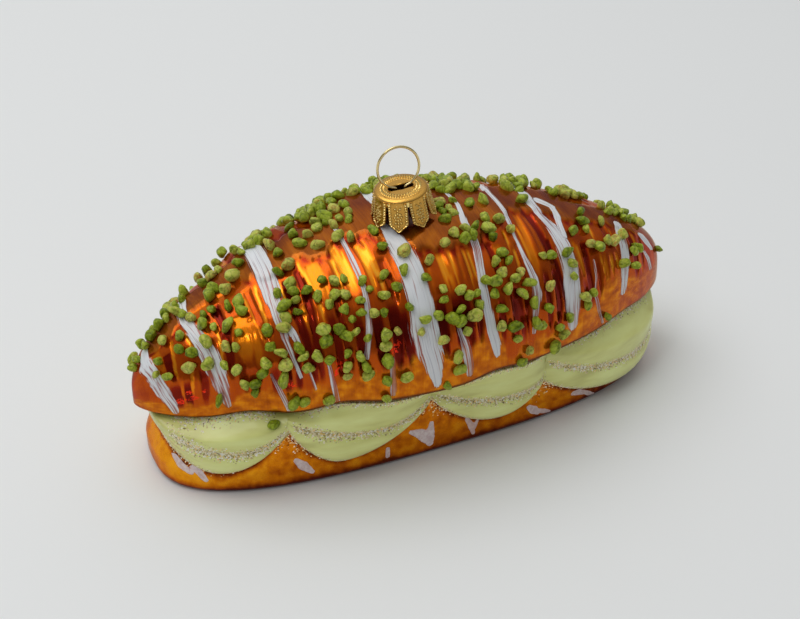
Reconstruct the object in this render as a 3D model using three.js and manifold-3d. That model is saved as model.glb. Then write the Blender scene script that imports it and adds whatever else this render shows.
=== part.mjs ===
// A blown-glass tree ornament in the form of a filled croissant, in millimetres, +Z up.
// X runs along the croissant, -Y is the side that the hanging eye is seen from, and Z = 0 is the
// flat underside. Lower crust, filling and ridged upper crust lie on each other, and a stamped
// metal cap with a wire ring sits on the glass neck at the top.

import * as THREE from 'three';
import { mergeVertices } from 'three/addons/utils/BufferGeometryUtils.js';
import Module from 'manifold-3d';

const wasm = await Module();
wasm.setup();

// Driving dimensions
const gap = 0.35;                        // between two pieces that lie on each other
const stations = 52;                     // steps along the croissant, from tip to tip

const lip = { length: 62.5, width: 27.1, power: 1.63, height: 20.75, drop: 3.54, roll: 0.8 };
const dome = { rise: 28.4, lengthPower: 1.3, risePower: 2.15, girthPower: 2.4, tipRise: 3 };
const ridges = { depth: 0.55, count: 13, slant: 0.16, swirl: 2.1 };
const wall = { length: 58.8, width: 21.6, power: 2.74, shift: -1.3, top: 16.2, shoulder: 5 };
const taper = { length: 5.4, lengthPower: 1.15, width: 1.3, widthPower: 2 };
const foot = { radius: 1.9, inset: 1.6 };
const rim = { length: 60.4, width: 25, power: 1.63, tuck: 1, below: 0.5 };
const cheek = {
  length: 58.5, width: 22.6, power: 2.7, upper: 2.2, lower: 2.5, crease: 1.1, bulge: 0.3,
};

// The lobes of the filling on one side, from the left tip to the right one. Each hangs as a
// garland between two joins: edge and crease give the heights at the left join, at the lowest
// point and at the right join, and lift is how far the crust's lip rises over the lobe.
const lobes = [
  { from: -58.5, low: -50.5, to: -36.2, edge: [11, 5.8, 15.9],
    creaseLow: -46.5, crease: [15, 11.3, 16.7], lift: 1.5, liftX: -43 },
  { from: -36.2, low: -25, to: -5.2, edge: [15.9, 5.8, 15.9],
    creaseLow: -17, crease: [17.6, 12, 17], lift: 1.5, liftX: -25 },
  { from: -5.2, low: 11, to: 21.8, edge: [15.9, 6.2, 11.8],
    creaseLow: 15.5, crease: [17.6, 11.2, 13], lift: 1.2, liftX: 8 },
  { from: 21.8, low: 45, to: 58.5, edge: [11.8, 3.4, 8],
    creaseLow: 49, crease: [17.4, 8.8, 13], lift: 0.9, liftX: 45 },
];
const liftWidth = 6;
const liftDip = 0.4;

const crown = {
  x: -3.5, y: -3.2, top: 56.1, lean: 5.9, leanTowards: 176,
  radius: 5.6, plate: 0.5, collar: 1.9, sheet: 0.4, edge: 0.8, facets: 24,
};
const leaf = { count: 8, width: 4.05, length: 4.1, tip: 1.4, tipWidth: 0.5, flare: 1.1, first: -122 };
const slot = { length: 5.6, width: 2, turn: 8 };
const neck = {
  radius: 4.5, bore: 3.5, boreDepth: 5, root: 4, flare: 0.6, flareDrop: 3.5, edge: 0.4, facets: 16,
};
const ring = {
  wire: 0.3, width: 4.35, height: 4.75, centre: 4.3, mouth: 0.9, mouthDrop: 0.6, leg: 4.4, splay: 2.4,
  openHalf: 28, bends: 14, steps: 36,
};

// Drifts of chopped pistachio: place along X, place round the girth in degrees from the -Y lip
// over the crest, spread of both, and number. Flank drifts are met again on the far side.
const drifts = [
  { x: -52, around: 66, spreadX: 4.5, spreadAround: 15, number: 9, far: 4 },
  { x: -45, around: 100, spreadX: 4, spreadAround: 12, number: 6, far: 0 },
  { x: -28, around: 98, spreadX: 8, spreadAround: 12, number: 10, far: 0 },
  { x: -14, around: 102, spreadX: 5, spreadAround: 14, number: 8, far: 0 },
  { x: -32, around: 46, spreadX: 6, spreadAround: 16, number: 7, far: 4 },
  { x: -20, around: 40, spreadX: 5, spreadAround: 14, number: 7, far: 4 },
  { x: -20, around: 15, spreadX: 20, spreadAround: 8, number: 4, far: 2 },
  { x: 0, around: 45, spreadX: 6, spreadAround: 17, number: 5, far: 3 },
  { x: 10, around: 92, spreadX: 5, spreadAround: 13, number: 9, far: 0 },
  { x: 14, around: 42, spreadX: 6, spreadAround: 15, number: 8, far: 4 },
  { x: 27, around: 98, spreadX: 6, spreadAround: 12, number: 8, far: 0 },
  { x: 43, around: 86, spreadX: 6, spreadAround: 14, number: 7, far: 3 },
  { x: 34, around: 44, spreadX: 9, spreadAround: 15, number: 5, far: 2 },
];
const granule = {
  radius: 1.4, uneven: 0.16, long: 1.12, flat: 0.86, sink: 0.45, apart: 2.5, clearOfCap: 9.2,
  lastShare: 0.95, lowest: 7, stretch: 1.6, tries: 40,
};

const degrees = Math.PI / 180;

// A signed power: it keeps the sign of its base.
const power = (base, exponent) => Math.sign(base) * Math.abs(base) ** exponent;

// Seeded draws from 0 to 1, the same on every run.
let drawState = 20817;
function draw() {
  drawState = (drawState * 48271) % 2147483647;
  return drawState / 2147483647;
}

// Half width of a superellipse outline at a share t of its half length.
function halfWidth(form, t) {
  return form.width * Math.max(0, 1 - Math.abs(t) ** form.power) ** (1 / form.power);
}

// A ring of points round an outline, counter-clockwise from +X seen from above. All rings have
// the same stations, so two rings of any outline can be joined. place(t, side, halfWidth) gives
// a point for a share t of the half length, with side -1 towards -Y and +1 towards +Y.
function ringOf(form, place) {
  const ring = [];
  for (let k = 0; k < 2 * stations; k++) {
    const t = Math.cos((Math.PI * k) / stations);
    const side = k <= stations ? 1 : -1;
    ring.push(place(t, side, halfWidth(form, t)));
  }
  return ring;
}

const flatRing = (form, height) =>
  ringOf(form, (t, side, half) => [form.shift + form.length * t, side * half, height]);

// A closed geometry from corners and faces.
function solidFrom(points, faces) {
  const geometry = new THREE.BufferGeometry();
  geometry.setAttribute('position', new THREE.Float32BufferAttribute(points.flat(), 3));
  geometry.setIndex(faces.flat());
  return geometry;
}

// Rings stacked from the underside outwards, up and back in over the top. The first and the
// last ring are closed by a ladder of faces straight across the body.
function stack(rings) {
  const count = 2 * stations;
  const points = rings.flat();
  const faces = [];
  for (let j = 0; j + 1 < rings.length; j++) {
    for (let k = 0; k < count; k++) {
      const next = (k + 1) % count;
      const [low, high] = [j * count, (j + 1) * count];
      faces.push([low + k, low + next, high + next], [low + k, high + next, high + k]);
    }
  }
  const last = (rings.length - 1) * count;
  for (let k = 0; k < stations; k++) {
    const [right, left] = [k, k + 1];
    const [rightFar, leftFar] = [(count - k) % count, count - k - 1];
    if (k > 0) {
      faces.push([rightFar, left, right], [last + right, last + left, last + rightFar]);
    }
    if (k + 1 < stations) {
      faces.push([rightFar, leftFar, left], [last + left, last + leftFar, last + rightFar]);
    }
  }
  return solidFrom(points, faces);
}

// Height of the crust's lip: highest in the middle, lifted over each lobe.
function lipHeight(x) {
  let height = lip.height - lip.drop * (x / lip.length) ** 2 - liftDip;
  for (const { lift, liftX } of lobes) {
    height += lift * Math.exp(-(((x - liftX) / liftWidth) ** 2));
  }
  return height;
}

// Height of the edge or the crease of the filling at a place, and how full the lobe is there,
// from 0 at a join to 1 at its lowest point.
function garland(x, line, low) {
  const last = lobes[lobes.length - 1];
  const at = Math.min(Math.max(x, lobes[0].from), last.to);
  const lobe = lobes.find((each) => at <= each.to);
  const share = at < lobe[low]
    ? (0.5 * (at - lobe.from)) / (lobe[low] - lobe.from)
    : 0.5 + (0.5 * (at - lobe[low])) / (lobe.to - lobe[low]);
  const [left, lowest, right] = lobe[line];
  const join = share < 0.5 ? left : right;
  const bow = Math.sin(Math.PI * share);
  return { height: join + (lowest - join) * bow ** 0.75, full: bow ** 0.6 };
}

// One ring of the lower crust's wall, a step out from it. The wall is widest low down, rounds in
// to the underside, and leans in to the top, most of all at the tips.
const wallRing = (height, out = 0) => ringOf(wall, (t, side, half) => {
  const z = typeof height === 'function' ? height(wall.shift + wall.length * t) : height;
  const over = Math.min(1, Math.max(0, z - wall.shoulder) / (wall.top - wall.shoulder));
  const under = Math.max(0, 1 - z / foot.radius);
  const round = foot.inset * (1 - Math.sqrt(1 - Math.min(1, under) ** 2)) - out;
  const length = wall.length - round - taper.length * over ** taper.lengthPower;
  const width = wall.width - round - taper.width * over ** taper.widthPower;
  return [wall.shift + length * t, (side * half * width) / wall.width, z];
});

// The flat floor of the filling and the flat top of the lower crust share this outline.
const tableForm = { length: 49, width: 16.5, power: 2.6, shift: -1.3 };
// The underside of the upper crust and the top of the filling share this one.
const ceilingForm = { length: 51, width: 17, power: 1.63 };

function lowerCrust() {
  const heights = [0, 0.6, foot.radius, wall.shoulder, 9, 12.8, wall.top - 0.5];
  return stack([...heights.map((height) => wallRing(height)), flatRing(tableForm, wall.top)]);
}

// The curved surface between filling and upper crust, lowered or raised by a step.
const ceiling = (step) => ringOf(ceilingForm, (t, side, half) => {
  const x = ceilingForm.length * t;
  return [x, side * half, lip.height - lip.drop * (x / lip.length) ** 2 + rim.tuck + step];
});

const rimRing = (height) => ringOf(rim, (t, side, half) =>
  [rim.length * t, side * half, lipHeight(rim.length * t) + height]);

// One ring of the filling's outer wall. fold is 0 at its lower edge, 1 at the crease and 2 under
// the lip, puff is how far the wall stands out there in the middle of a lobe, and outline is 1 on
// the filling's own outline and 0 under the lip.
function cheekRing(fold, puff, outline = 1) {
  return ringOf(cheek, (t, side, half) => {
    const x = (cheek.length * outline + rim.length * (1 - outline)) * t;
    const edge = garland(x, 'edge', 'low');
    const crease = garland(x, 'crease', 'creaseLow');
    const height = fold < 1
      ? edge.height + (crease.height - edge.height) * fold
      : crease.height + (lipHeight(x) - rim.below - crease.height) * (fold - 1);
    const swell = puff * (fold < 1 ? edge.full : crease.full);
    const y = half * outline + halfWidth(rim, t) * (1 - outline);
    return [x + cheek.bulge * swell * t ** 5, side * y * (1 + swell / cheek.width), height];
  });
}

function filling() {
  // The skirt hangs in front of the lower crust's wall, down to the edge of the lobes.
  const skirt = (share) => (x) => {
    const low = garland(x, 'edge', 'low').height + gap;
    return low + Math.max(0, wall.top - gap / 2 - low) * share;
  };
  return stack([
    flatRing(tableForm, wall.top + gap),
    wallRing(skirt(1), gap),
    wallRing(skirt(0.5), gap),
    wallRing(skirt(0), gap),
    cheekRing(0, cheek.lower * 0.3),
    cheekRing(0.3, cheek.lower * 0.85),
    cheekRing(0.65, cheek.lower),
    cheekRing(1, cheek.crease),
    cheekRing(1.35, cheek.upper),
    cheekRing(1.7, cheek.upper * 0.8, 0.75),
    rimRing(-rim.below),
    rimRing(rim.tuck - gap),
    ceiling(-gap),
  ]);
}

// A point of the ridged dome: place x along the body, and degrees round it from the -Y lip.
function domePoint(x, around) {
  const t = Math.min(Math.abs(x) / lip.length, 1);
  const half = halfWidth(lip, t);
  const fall = Math.max(0, 1 - t ** dome.lengthPower) ** (1 / dome.risePower);
  const rise = dome.tipRise + (dome.rise - dome.tipRise) * fall;
  const [c, s] = [Math.cos(around * degrees), Math.sin(around * degrees)];
  const [out, up] = [power(c, 2 / dome.girthPower), power(s, 2 / dome.girthPower)];
  const base = lip.height - lip.drop * t ** 2;
  const lift = (lipHeight(x) - base) * (1 - s) ** 1.5;
  const wave = ridges.count * Math.PI * (x / lip.length + ridges.slant * Math.sin(ridges.swirl * c));
  const relief = ridges.depth * Math.sin(wave) * s ** 0.5 * Math.abs(c) ** 0.8 * fall;
  const girth = 1 + relief / lip.width;
  return [x, -half * out * girth, base + lift + rise * up * girth];
}

const domeRing = (around) => ringOf(lip, (t, side) =>
  domePoint(lip.length * t, side < 0 ? around : 180 - around));

// The dome's outward direction at a point, from two short steps on it.
function domeNormal(x, around) {
  const at = new THREE.Vector3(...domePoint(x, around));
  const alongX = new THREE.Vector3(...domePoint(x + 0.3, around)).sub(at);
  const over = new THREE.Vector3(...domePoint(x, around + 0.5)).sub(at);
  return over.cross(alongX).normalize().negate();
}

function upperCrust() {
  const lipEdge = (inset, height) => ringOf(lip, (t, side, half) => {
    const y = side * half * (1 - inset / lip.width);
    return [(lip.length - inset) * t, y, lipHeight(lip.length * t) + height];
  });
  return stack([
    ceiling(0),
    rimRing(rim.tuck),
    lipEdge(lip.roll, 0),
    lipEdge(0.2 * lip.roll, 0.3 * lip.roll),
    ...[2, 8, 18, 30, 42, 54, 66, 77, 86].map(domeRing),
  ]);
}

// The cap's frame: its origin in the middle of the top plate, leaning off the vertical.
function crownFrame() {
  const frame = new THREE.Group();
  frame.position.set(crown.x, crown.y, crown.top);
  const towards = crown.leanTowards * degrees;
  const axis = new THREE.Vector3(-Math.sin(towards), Math.cos(towards), 0);
  frame.quaternion.setFromAxisAngle(axis, crown.lean * degrees);
  return frame;
}

function lathe(profile, facets) {
  const points = profile.map(([radius, height]) => new THREE.Vector2(radius, height));
  return new THREE.LatheGeometry(points, facets).rotateX(Math.PI / 2);
}

// The neck stands on the dome with its mouth just under the cap's plate.
function glassNeck() {
  const top = -crown.plate - gap;
  const root = crown.top - dome.rise - lip.height - top + neck.root;
  return lathe([
    [0, top - root], [neck.radius + neck.flare, top - root],
    [neck.radius, top - neck.flareDrop], [neck.radius, top - neck.edge],
    [neck.radius - neck.edge, top], [neck.bore, top],
    [neck.bore, top - neck.boreDepth], [0, top - neck.boreDepth],
  ], neck.facets);
}

// One leaf of the cap: a curved pointed plate, made of an outer and an inner grid of corners.
function capLeaf(turn) {
  const start = -crown.collar + 0.5;
  const rows = [
    { down: 0, half: leaf.width / 2 }, { down: leaf.length * 0.45, half: leaf.width / 2 },
    { down: leaf.length, half: leaf.width / 2 }, { down: leaf.length + leaf.tip, half: leaf.tipWidth / 2 },
  ];
  const columns = [-1, 0, 1];
  const points = [];
  for (const inwards of [0, crown.sheet]) {
    for (const { down, half } of rows) {
      const share = down / (leaf.length + leaf.tip);
      const radius = crown.radius + 0.05 + leaf.flare * share ** 1.3;
      for (const column of columns) {
        const angle = turn + (column * half) / radius;
        const reach = radius - inwards;
        points.push([reach * Math.cos(angle), reach * Math.sin(angle), start - down]);
      }
    }
  }
  const [wide, inner] = [columns.length, rows.length * columns.length];
  const faces = [];
  const quad = (a, b, c, d) => faces.push([a, b, c], [a, c, d]);
  for (let r = 0; r + 1 < rows.length; r++) {
    for (let c = 0; c + 1 < wide; c++) {
      const [a, b] = [r * wide + c, (r + 1) * wide + c];
      quad(a, b, b + 1, a + 1);
      quad(inner + a, inner + a + 1, inner + b + 1, inner + b);
    }
    const [left, right] = [r * wide, r * wide + wide - 1];
    quad(left, inner + left, inner + left + wide, left + wide);
    quad(right, right + wide, inner + right + wide, inner + right);
  }
  for (let c = 0; c + 1 < wide; c++) {
    const bottom = (rows.length - 1) * wide + c;
    quad(c, c + 1, inner + c + 1, inner + c);
    quad(bottom, inner + bottom, inner + bottom + 1, bottom + 1);
  }
  return solidFrom(points, faces);
}

function toManifold(geometry) {
  const bare = geometry.clone();
  bare.deleteAttribute('normal');
  bare.deleteAttribute('uv');
  const merged = mergeVertices(bare, 1e-4);
  return new wasm.Manifold(new wasm.Mesh({
    numProp: 3,
    vertProperties: new Float32Array(merged.attributes.position.array),
    triVerts: new Uint32Array(merged.index.array),
  }));
}

function fromManifold(solid) {
  const mesh = solid.getMesh();
  const geometry = new THREE.BufferGeometry();
  geometry.setAttribute('position', new THREE.BufferAttribute(mesh.vertProperties, 3));
  geometry.setIndex(new THREE.BufferAttribute(mesh.triVerts, 1));
  return geometry;
}

// The stamped cap: a plate with a turned-down collar, a slot for the wire, and pointed leaves.
function stampedCap() {
  const outer = crown.radius;
  const inner = crown.radius - crown.sheet;
  let cap = toManifold(lathe([
    [0, -crown.plate], [inner - crown.edge, -crown.plate], [inner, -crown.plate - crown.edge],
    [inner, -crown.collar], [outer, -crown.collar], [outer, -crown.edge],
    [outer - crown.edge * 0.3, -crown.edge * 0.3], [outer - crown.edge, 0], [0, 0],
  ], crown.facets));
  for (let i = 0; i < leaf.count; i++) {
    const turn = (leaf.first + (i * 360) / leaf.count) * degrees;
    cap = cap.add(toManifold(capLeaf(turn)));
  }
  const cut = new THREE.BoxGeometry(slot.length, slot.width, 4 * crown.plate);
  cut.rotateZ(-slot.turn * degrees);
  return fromManifold(cap.subtract(toManifold(cut)));
}

// The wire ring: one leg up out of the slot, round the eye and down the other leg.
function wireRing() {
  const points = [
    new THREE.Vector3(-ring.splay, 0, -ring.leg), new THREE.Vector3(-ring.mouth, 0, -ring.mouthDrop),
  ];
  const sweep = 360 - 2 * ring.openHalf;
  for (let i = 0; i <= ring.bends; i++) {
    const angle = (-90 - ring.openHalf - (i * sweep) / ring.bends) * degrees;
    points.push(new THREE.Vector3(
      ring.width * Math.cos(angle), 0, ring.centre + ring.height * Math.sin(angle)));
  }
  points.push(
    new THREE.Vector3(ring.mouth, 0, -ring.mouthDrop), new THREE.Vector3(ring.splay, 0, -ring.leg));
  const section = new THREE.Shape().absarc(0, 0, ring.wire, 0, 2 * Math.PI);
  const wire = new THREE.ExtrudeGeometry(section, {
    steps: ring.steps, curveSegments: 3, bevelEnabled: false,
    extrudePath: new THREE.CatmullRomCurve3(points, false, 'centripetal'),
  });
  wire.rotateZ(-slot.turn * degrees);
  return wire;
}

// A chopped nut: a low-sided lump, uneven, turned at random.
function nut(radius) {
  const bare = new THREE.IcosahedronGeometry(radius, 0).deleteAttribute('normal').deleteAttribute('uv');
  const lump = mergeVertices(bare, 1e-4);
  const place = lump.attributes.position;
  for (let i = 0; i < place.count; i++) {
    const size = 1 + granule.uneven * (2 * draw() - 1);
    const [x, y, z] = [place.getX(i) * granule.long, place.getY(i), place.getZ(i) * granule.flat];
    place.setXYZ(i, x * size, y * size, z * size);
  }
  lump.rotateX((draw() - 0.5) * 1.2);
  lump.rotateZ(draw() * 2 * Math.PI);
  return lump;
}

// The chopped nuts that show from a step away, drift by drift, none on another or on the cap.
function nuts() {
  const placed = [];
  const capAxis = new THREE.Vector2(crown.x, crown.y);
  const scatter = ({ x, around, spreadX, spreadAround }, number) => {
    const [reachX, reachAround] = [granule.stretch * spreadX, granule.stretch * spreadAround];
    for (let left = number, tries = 0; left > 0 && tries < granule.tries * number; tries++) {
      const [u, v] = [draw() + draw() + draw() - 1.5, draw() + draw() + draw() - 1.5];
      const at = { x: x + reachX * u, around: around + reachAround * v };
      const low = Math.min(at.around, 180 - at.around) < granule.lowest;
      if (low || Math.abs(at.x) > granule.lastShare * lip.length) continue;
      const point = new THREE.Vector3(...domePoint(at.x, at.around));
      const flat = new THREE.Vector2(point.x, point.y);
      const crowded = placed.some((other) => other.point.distanceTo(point) < granule.apart);
      if (crowded || flat.distanceTo(capAxis) < granule.clearOfCap) continue;
      placed.push({ point, normal: domeNormal(at.x, at.around) });
      left--;
    }
  };
  for (const drift of drifts) {
    scatter(drift, drift.number);
    scatter({ ...drift, x: -drift.x, around: 180 - drift.around }, drift.far);
  }
  return placed.map(({ point, normal }) => {
    const radius = granule.radius * (0.85 + 0.3 * draw());
    const lump = nut(radius);
    const turn = new THREE.Quaternion().setFromUnitVectors(new THREE.Vector3(0, 0, 1), normal);
    lump.applyQuaternion(turn);
    const centre = point.clone().addScaledVector(normal, radius * (granule.flat - granule.sink));
    lump.translate(centre.x, centre.y, centre.z);
    return toManifold(lump);
  });
}

const finish = (color, roughness, metalness) =>
  new THREE.MeshStandardMaterial({ color, roughness, metalness });

function named(name, geometry, material) {
  const mesh = new THREE.Mesh(geometry, material);
  mesh.name = name;
  return mesh;
}

const crownPlace = crownFrame();
crownPlace.updateMatrixWorld();

let crust = toManifold(upperCrust());
crust = crust.add(toManifold(glassNeck().applyMatrix4(crownPlace.matrixWorld)));
crust = wasm.Manifold.union([crust, ...nuts()]);

const ornament = new THREE.Group();
ornament.add(named('crust_base', lowerCrust(), finish(0xb8691c, 0.2, 0.2)));
ornament.add(named('cream', filling(), finish(0xb9c488, 0.25, 0)));
ornament.add(named('crust_top', fromManifold(crust), finish(0x8a3f14, 0.15, 0.3)));
crownPlace.add(named('cap', stampedCap(), finish(0xc79a4b, 0.35, 1)));
crownPlace.add(named('hanger', wireRing(), finish(0xc8b070, 0.3, 1)));
ornament.add(crownPlace);

export default ornament;
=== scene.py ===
"""A blown-glass tree ornament: a filled croissant under a stamped metal cap with a wire ring.

Lengths are in millimetres until a mesh is made, and +Z is up. X runs along the croissant, and
its front faces -Y.
"""

import math

import bmesh
import bpy
import numpy as np
from mathutils import Matrix, Vector


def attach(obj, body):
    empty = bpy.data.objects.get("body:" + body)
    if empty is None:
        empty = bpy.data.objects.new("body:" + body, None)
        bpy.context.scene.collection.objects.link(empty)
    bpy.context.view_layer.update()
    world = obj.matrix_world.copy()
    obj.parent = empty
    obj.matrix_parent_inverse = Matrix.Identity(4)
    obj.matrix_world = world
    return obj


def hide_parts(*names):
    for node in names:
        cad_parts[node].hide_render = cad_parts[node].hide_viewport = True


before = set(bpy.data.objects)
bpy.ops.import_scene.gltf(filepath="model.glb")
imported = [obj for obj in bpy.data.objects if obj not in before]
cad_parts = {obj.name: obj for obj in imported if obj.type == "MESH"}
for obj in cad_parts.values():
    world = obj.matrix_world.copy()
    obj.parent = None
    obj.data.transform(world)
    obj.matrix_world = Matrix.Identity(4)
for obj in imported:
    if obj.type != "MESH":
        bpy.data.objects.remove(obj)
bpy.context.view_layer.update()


# ---------------------------------------------------------------------------------------------
# The view: a close camera with a long lens, above the ornament's front left and looking down
# at it, level but for a slight roll.
# ---------------------------------------------------------------------------------------------

MM = 0.001
azimuth, elevation, roll = math.radians(-23.73), math.radians(34.5), math.radians(-0.35)
look_at = Vector((-2.355, 0, 23.28)) * MM
distance = 326 * MM

back = Vector((
    math.sin(azimuth) * math.cos(elevation),
    -math.cos(azimuth) * math.cos(elevation),
    math.sin(elevation),
))
level = Vector((math.cos(azimuth), math.sin(azimuth), 0))
upright = back.cross(level)
right = level * math.cos(roll) + upright * math.sin(roll)
up = upright * math.cos(roll) - level * math.sin(roll)

camera_data = bpy.data.cameras.new("camera")
camera_data.sensor_width = 36
camera_data.lens = 67.5
camera = bpy.data.objects.new("camera", camera_data)
bpy.context.scene.collection.objects.link(camera)
turn = Matrix((right, up, back)).transposed().to_4x4()
camera.matrix_world = Matrix.Translation(look_at + back * distance) @ turn
bpy.context.scene.camera = camera


# ---------------------------------------------------------------------------------------------
# Lower crust: the flat bun half under the filling. Blown glass, silvered inside and lacquered
# amber outside, with a few hand-painted pinkish-white flakes on its wall.
# ---------------------------------------------------------------------------------------------

gap = 0.35                          # between the glass of one piece and of the next

wall = dict(length=58.8, width=21.6, power=2.74, shift=-1.3, top=16.2, shoulder=5)
taper = dict(length=5.4, length_power=1.15, width=1.3, width_power=2)
foot = dict(radius=1.9, inset=1.6)
table_form = dict(length=49, width=16.5, power=2.6, shift=-1.3)


def round_trip(stations):
    """Shares of the half length from the right tip (1) to the left one (-1) over the far side
    and back along the near one, closer together towards the tips, and each one's side."""
    step = np.linspace(1, -1, stations + 1)
    share = step * (1.35 - 0.35 * step**2)
    return (np.concatenate([share, share[-2:0:-1]]),
            np.where(np.arange(2 * stations) <= stations, 1.0, -1.0))


along, side = round_trip(300)


def half_width(form, t):
    return form["width"] * np.maximum(0, 1 - np.abs(t) ** form["power"]) ** (1 / form["power"])


def points_of(x, y, z):
    """Points from their places along X, Y and Z, each a number or a list."""
    return np.stack(np.broadcast_arrays(x, y, z), axis=-1).astype(float)


def table_ring(height):
    """The edge of the flat top that the filling lies on."""
    x = table_form["shift"] + table_form["length"] * along
    return points_of(x, side * half_width(table_form, along), height)


def wall_ring(height, out=0.0):
    """One ring of the lower crust's wall, a step out from it."""
    over = np.clip((height - wall["shoulder"]) / (wall["top"] - wall["shoulder"]), 0, 1)
    under = np.clip(1 - height / foot["radius"], 0, 1)
    rounded = foot["inset"] * (1 - np.sqrt(1 - under**2)) - out
    length = wall["length"] - rounded - taper["length"] * over ** taper["length_power"]
    width = wall["width"] - rounded - taper["width"] * over ** taper["width_power"]
    half = half_width(wall, along) / wall["width"]
    return points_of(wall["shift"] + length * along, side * half * width, height)


def bands(rings, count, closed=False):
    """Faces between rings of points, and from the last ring to the first if closed."""
    here = np.arange(count)
    ahead = (here + 1) % count
    starts = np.arange(rings) * count
    pairs = zip(starts, np.roll(starts, -1)) if closed else zip(starts, starts[1:])
    return np.concatenate([
        np.stack([low + here, low + ahead, high + ahead, high + here], 1) for low, high in pairs])


def skin(name, rings, crease=50):
    """A smooth mesh over rings of points, its ends closed straight across the croissant."""
    count = len(rings[0])
    faces = bands(len(rings), count).tolist()
    last = (len(rings) - 1) * count
    for k in range(count // 2):
        strip = [(count - k) % count, count - k - 1, k + 1, k]
        faces.append(list(dict.fromkeys(strip)))
        faces.append([last + i for i in dict.fromkeys(strip[::-1])])
    return mesh_piece(name, np.concatenate(rings) * MM, faces, crease)


def mesh_piece(name, points, faces, crease=50):
    """A smooth mesh, but for edges sharper than the crease, in degrees."""
    mesh = bpy.data.meshes.new(name)
    mesh.from_pydata(np.asarray(points).tolist(), [], faces)
    mesh.validate()
    mesh.shade_smooth()
    mesh.set_sharp_from_angle(angle=math.radians(crease))
    piece = bpy.data.objects.new(name, mesh)
    bpy.context.scene.collection.objects.link(piece)
    return piece


def places_on(piece):
    """X, Y and Z of the points of a piece's mesh, in millimetres."""
    return np.array([v.co for v in piece.data.vertices]).T / MM


def note(piece, name, values):
    """Writes a number, or three, on each point of a mesh, for its material to read."""
    values = np.asarray(values, np.float32)
    kind, key = ("FLOAT", "value") if values.ndim == 1 else ("FLOAT_VECTOR", "vector")
    layer = piece.data.attributes.new(name, kind, "POINT")
    layer.data.foreach_set(key, values.ravel())


def smooth(low, high, value):
    t = np.clip((value - low) / (high - low), 0, 1)
    return t * t * (3 - 2 * t)


def bell(off, width):
    """1 in the middle, and falling softly away over the width."""
    return np.exp(-((off / width) ** 2))


def tint(red, green, blue):
    """A colour as it is seen on a screen, 0 to 255, as the shader counts it."""
    seen = np.array([red, green, blue]) / 255
    counted = np.where(seen <= 0.04045, seen / 12.92, ((seen + 0.055) / 1.055) ** 2.4)
    return (*counted.tolist(), 1.0)


class Wire:
    """A value that comes out of a node. Sums and products on it add Math nodes."""

    def __init__(self, board, socket):
        self.board = board
        self.socket = socket

    def maths(self, operation, first, second):
        return self.board.node("ShaderNodeMath", {"operation": operation}, {0: first, 1: second})

    def __add__(self, other):
        return self.maths("ADD", self, other)

    def __sub__(self, other):
        return self.maths("SUBTRACT", self, other)

    def __rsub__(self, other):
        return self.maths("SUBTRACT", other, self)

    def __mul__(self, other):
        return self.maths("MULTIPLY", self, other)

    __radd__ = __add__
    __rmul__ = __mul__

    def above(self, low, high):
        """0 where the value is under low, 1 where it is over high, and smooth between them."""
        return self.board.node(
            "ShaderNodeMapRange", {"interpolation_type": "SMOOTHSTEP"},
            {"Value": self, "From Min": low, "From Max": high})


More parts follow.
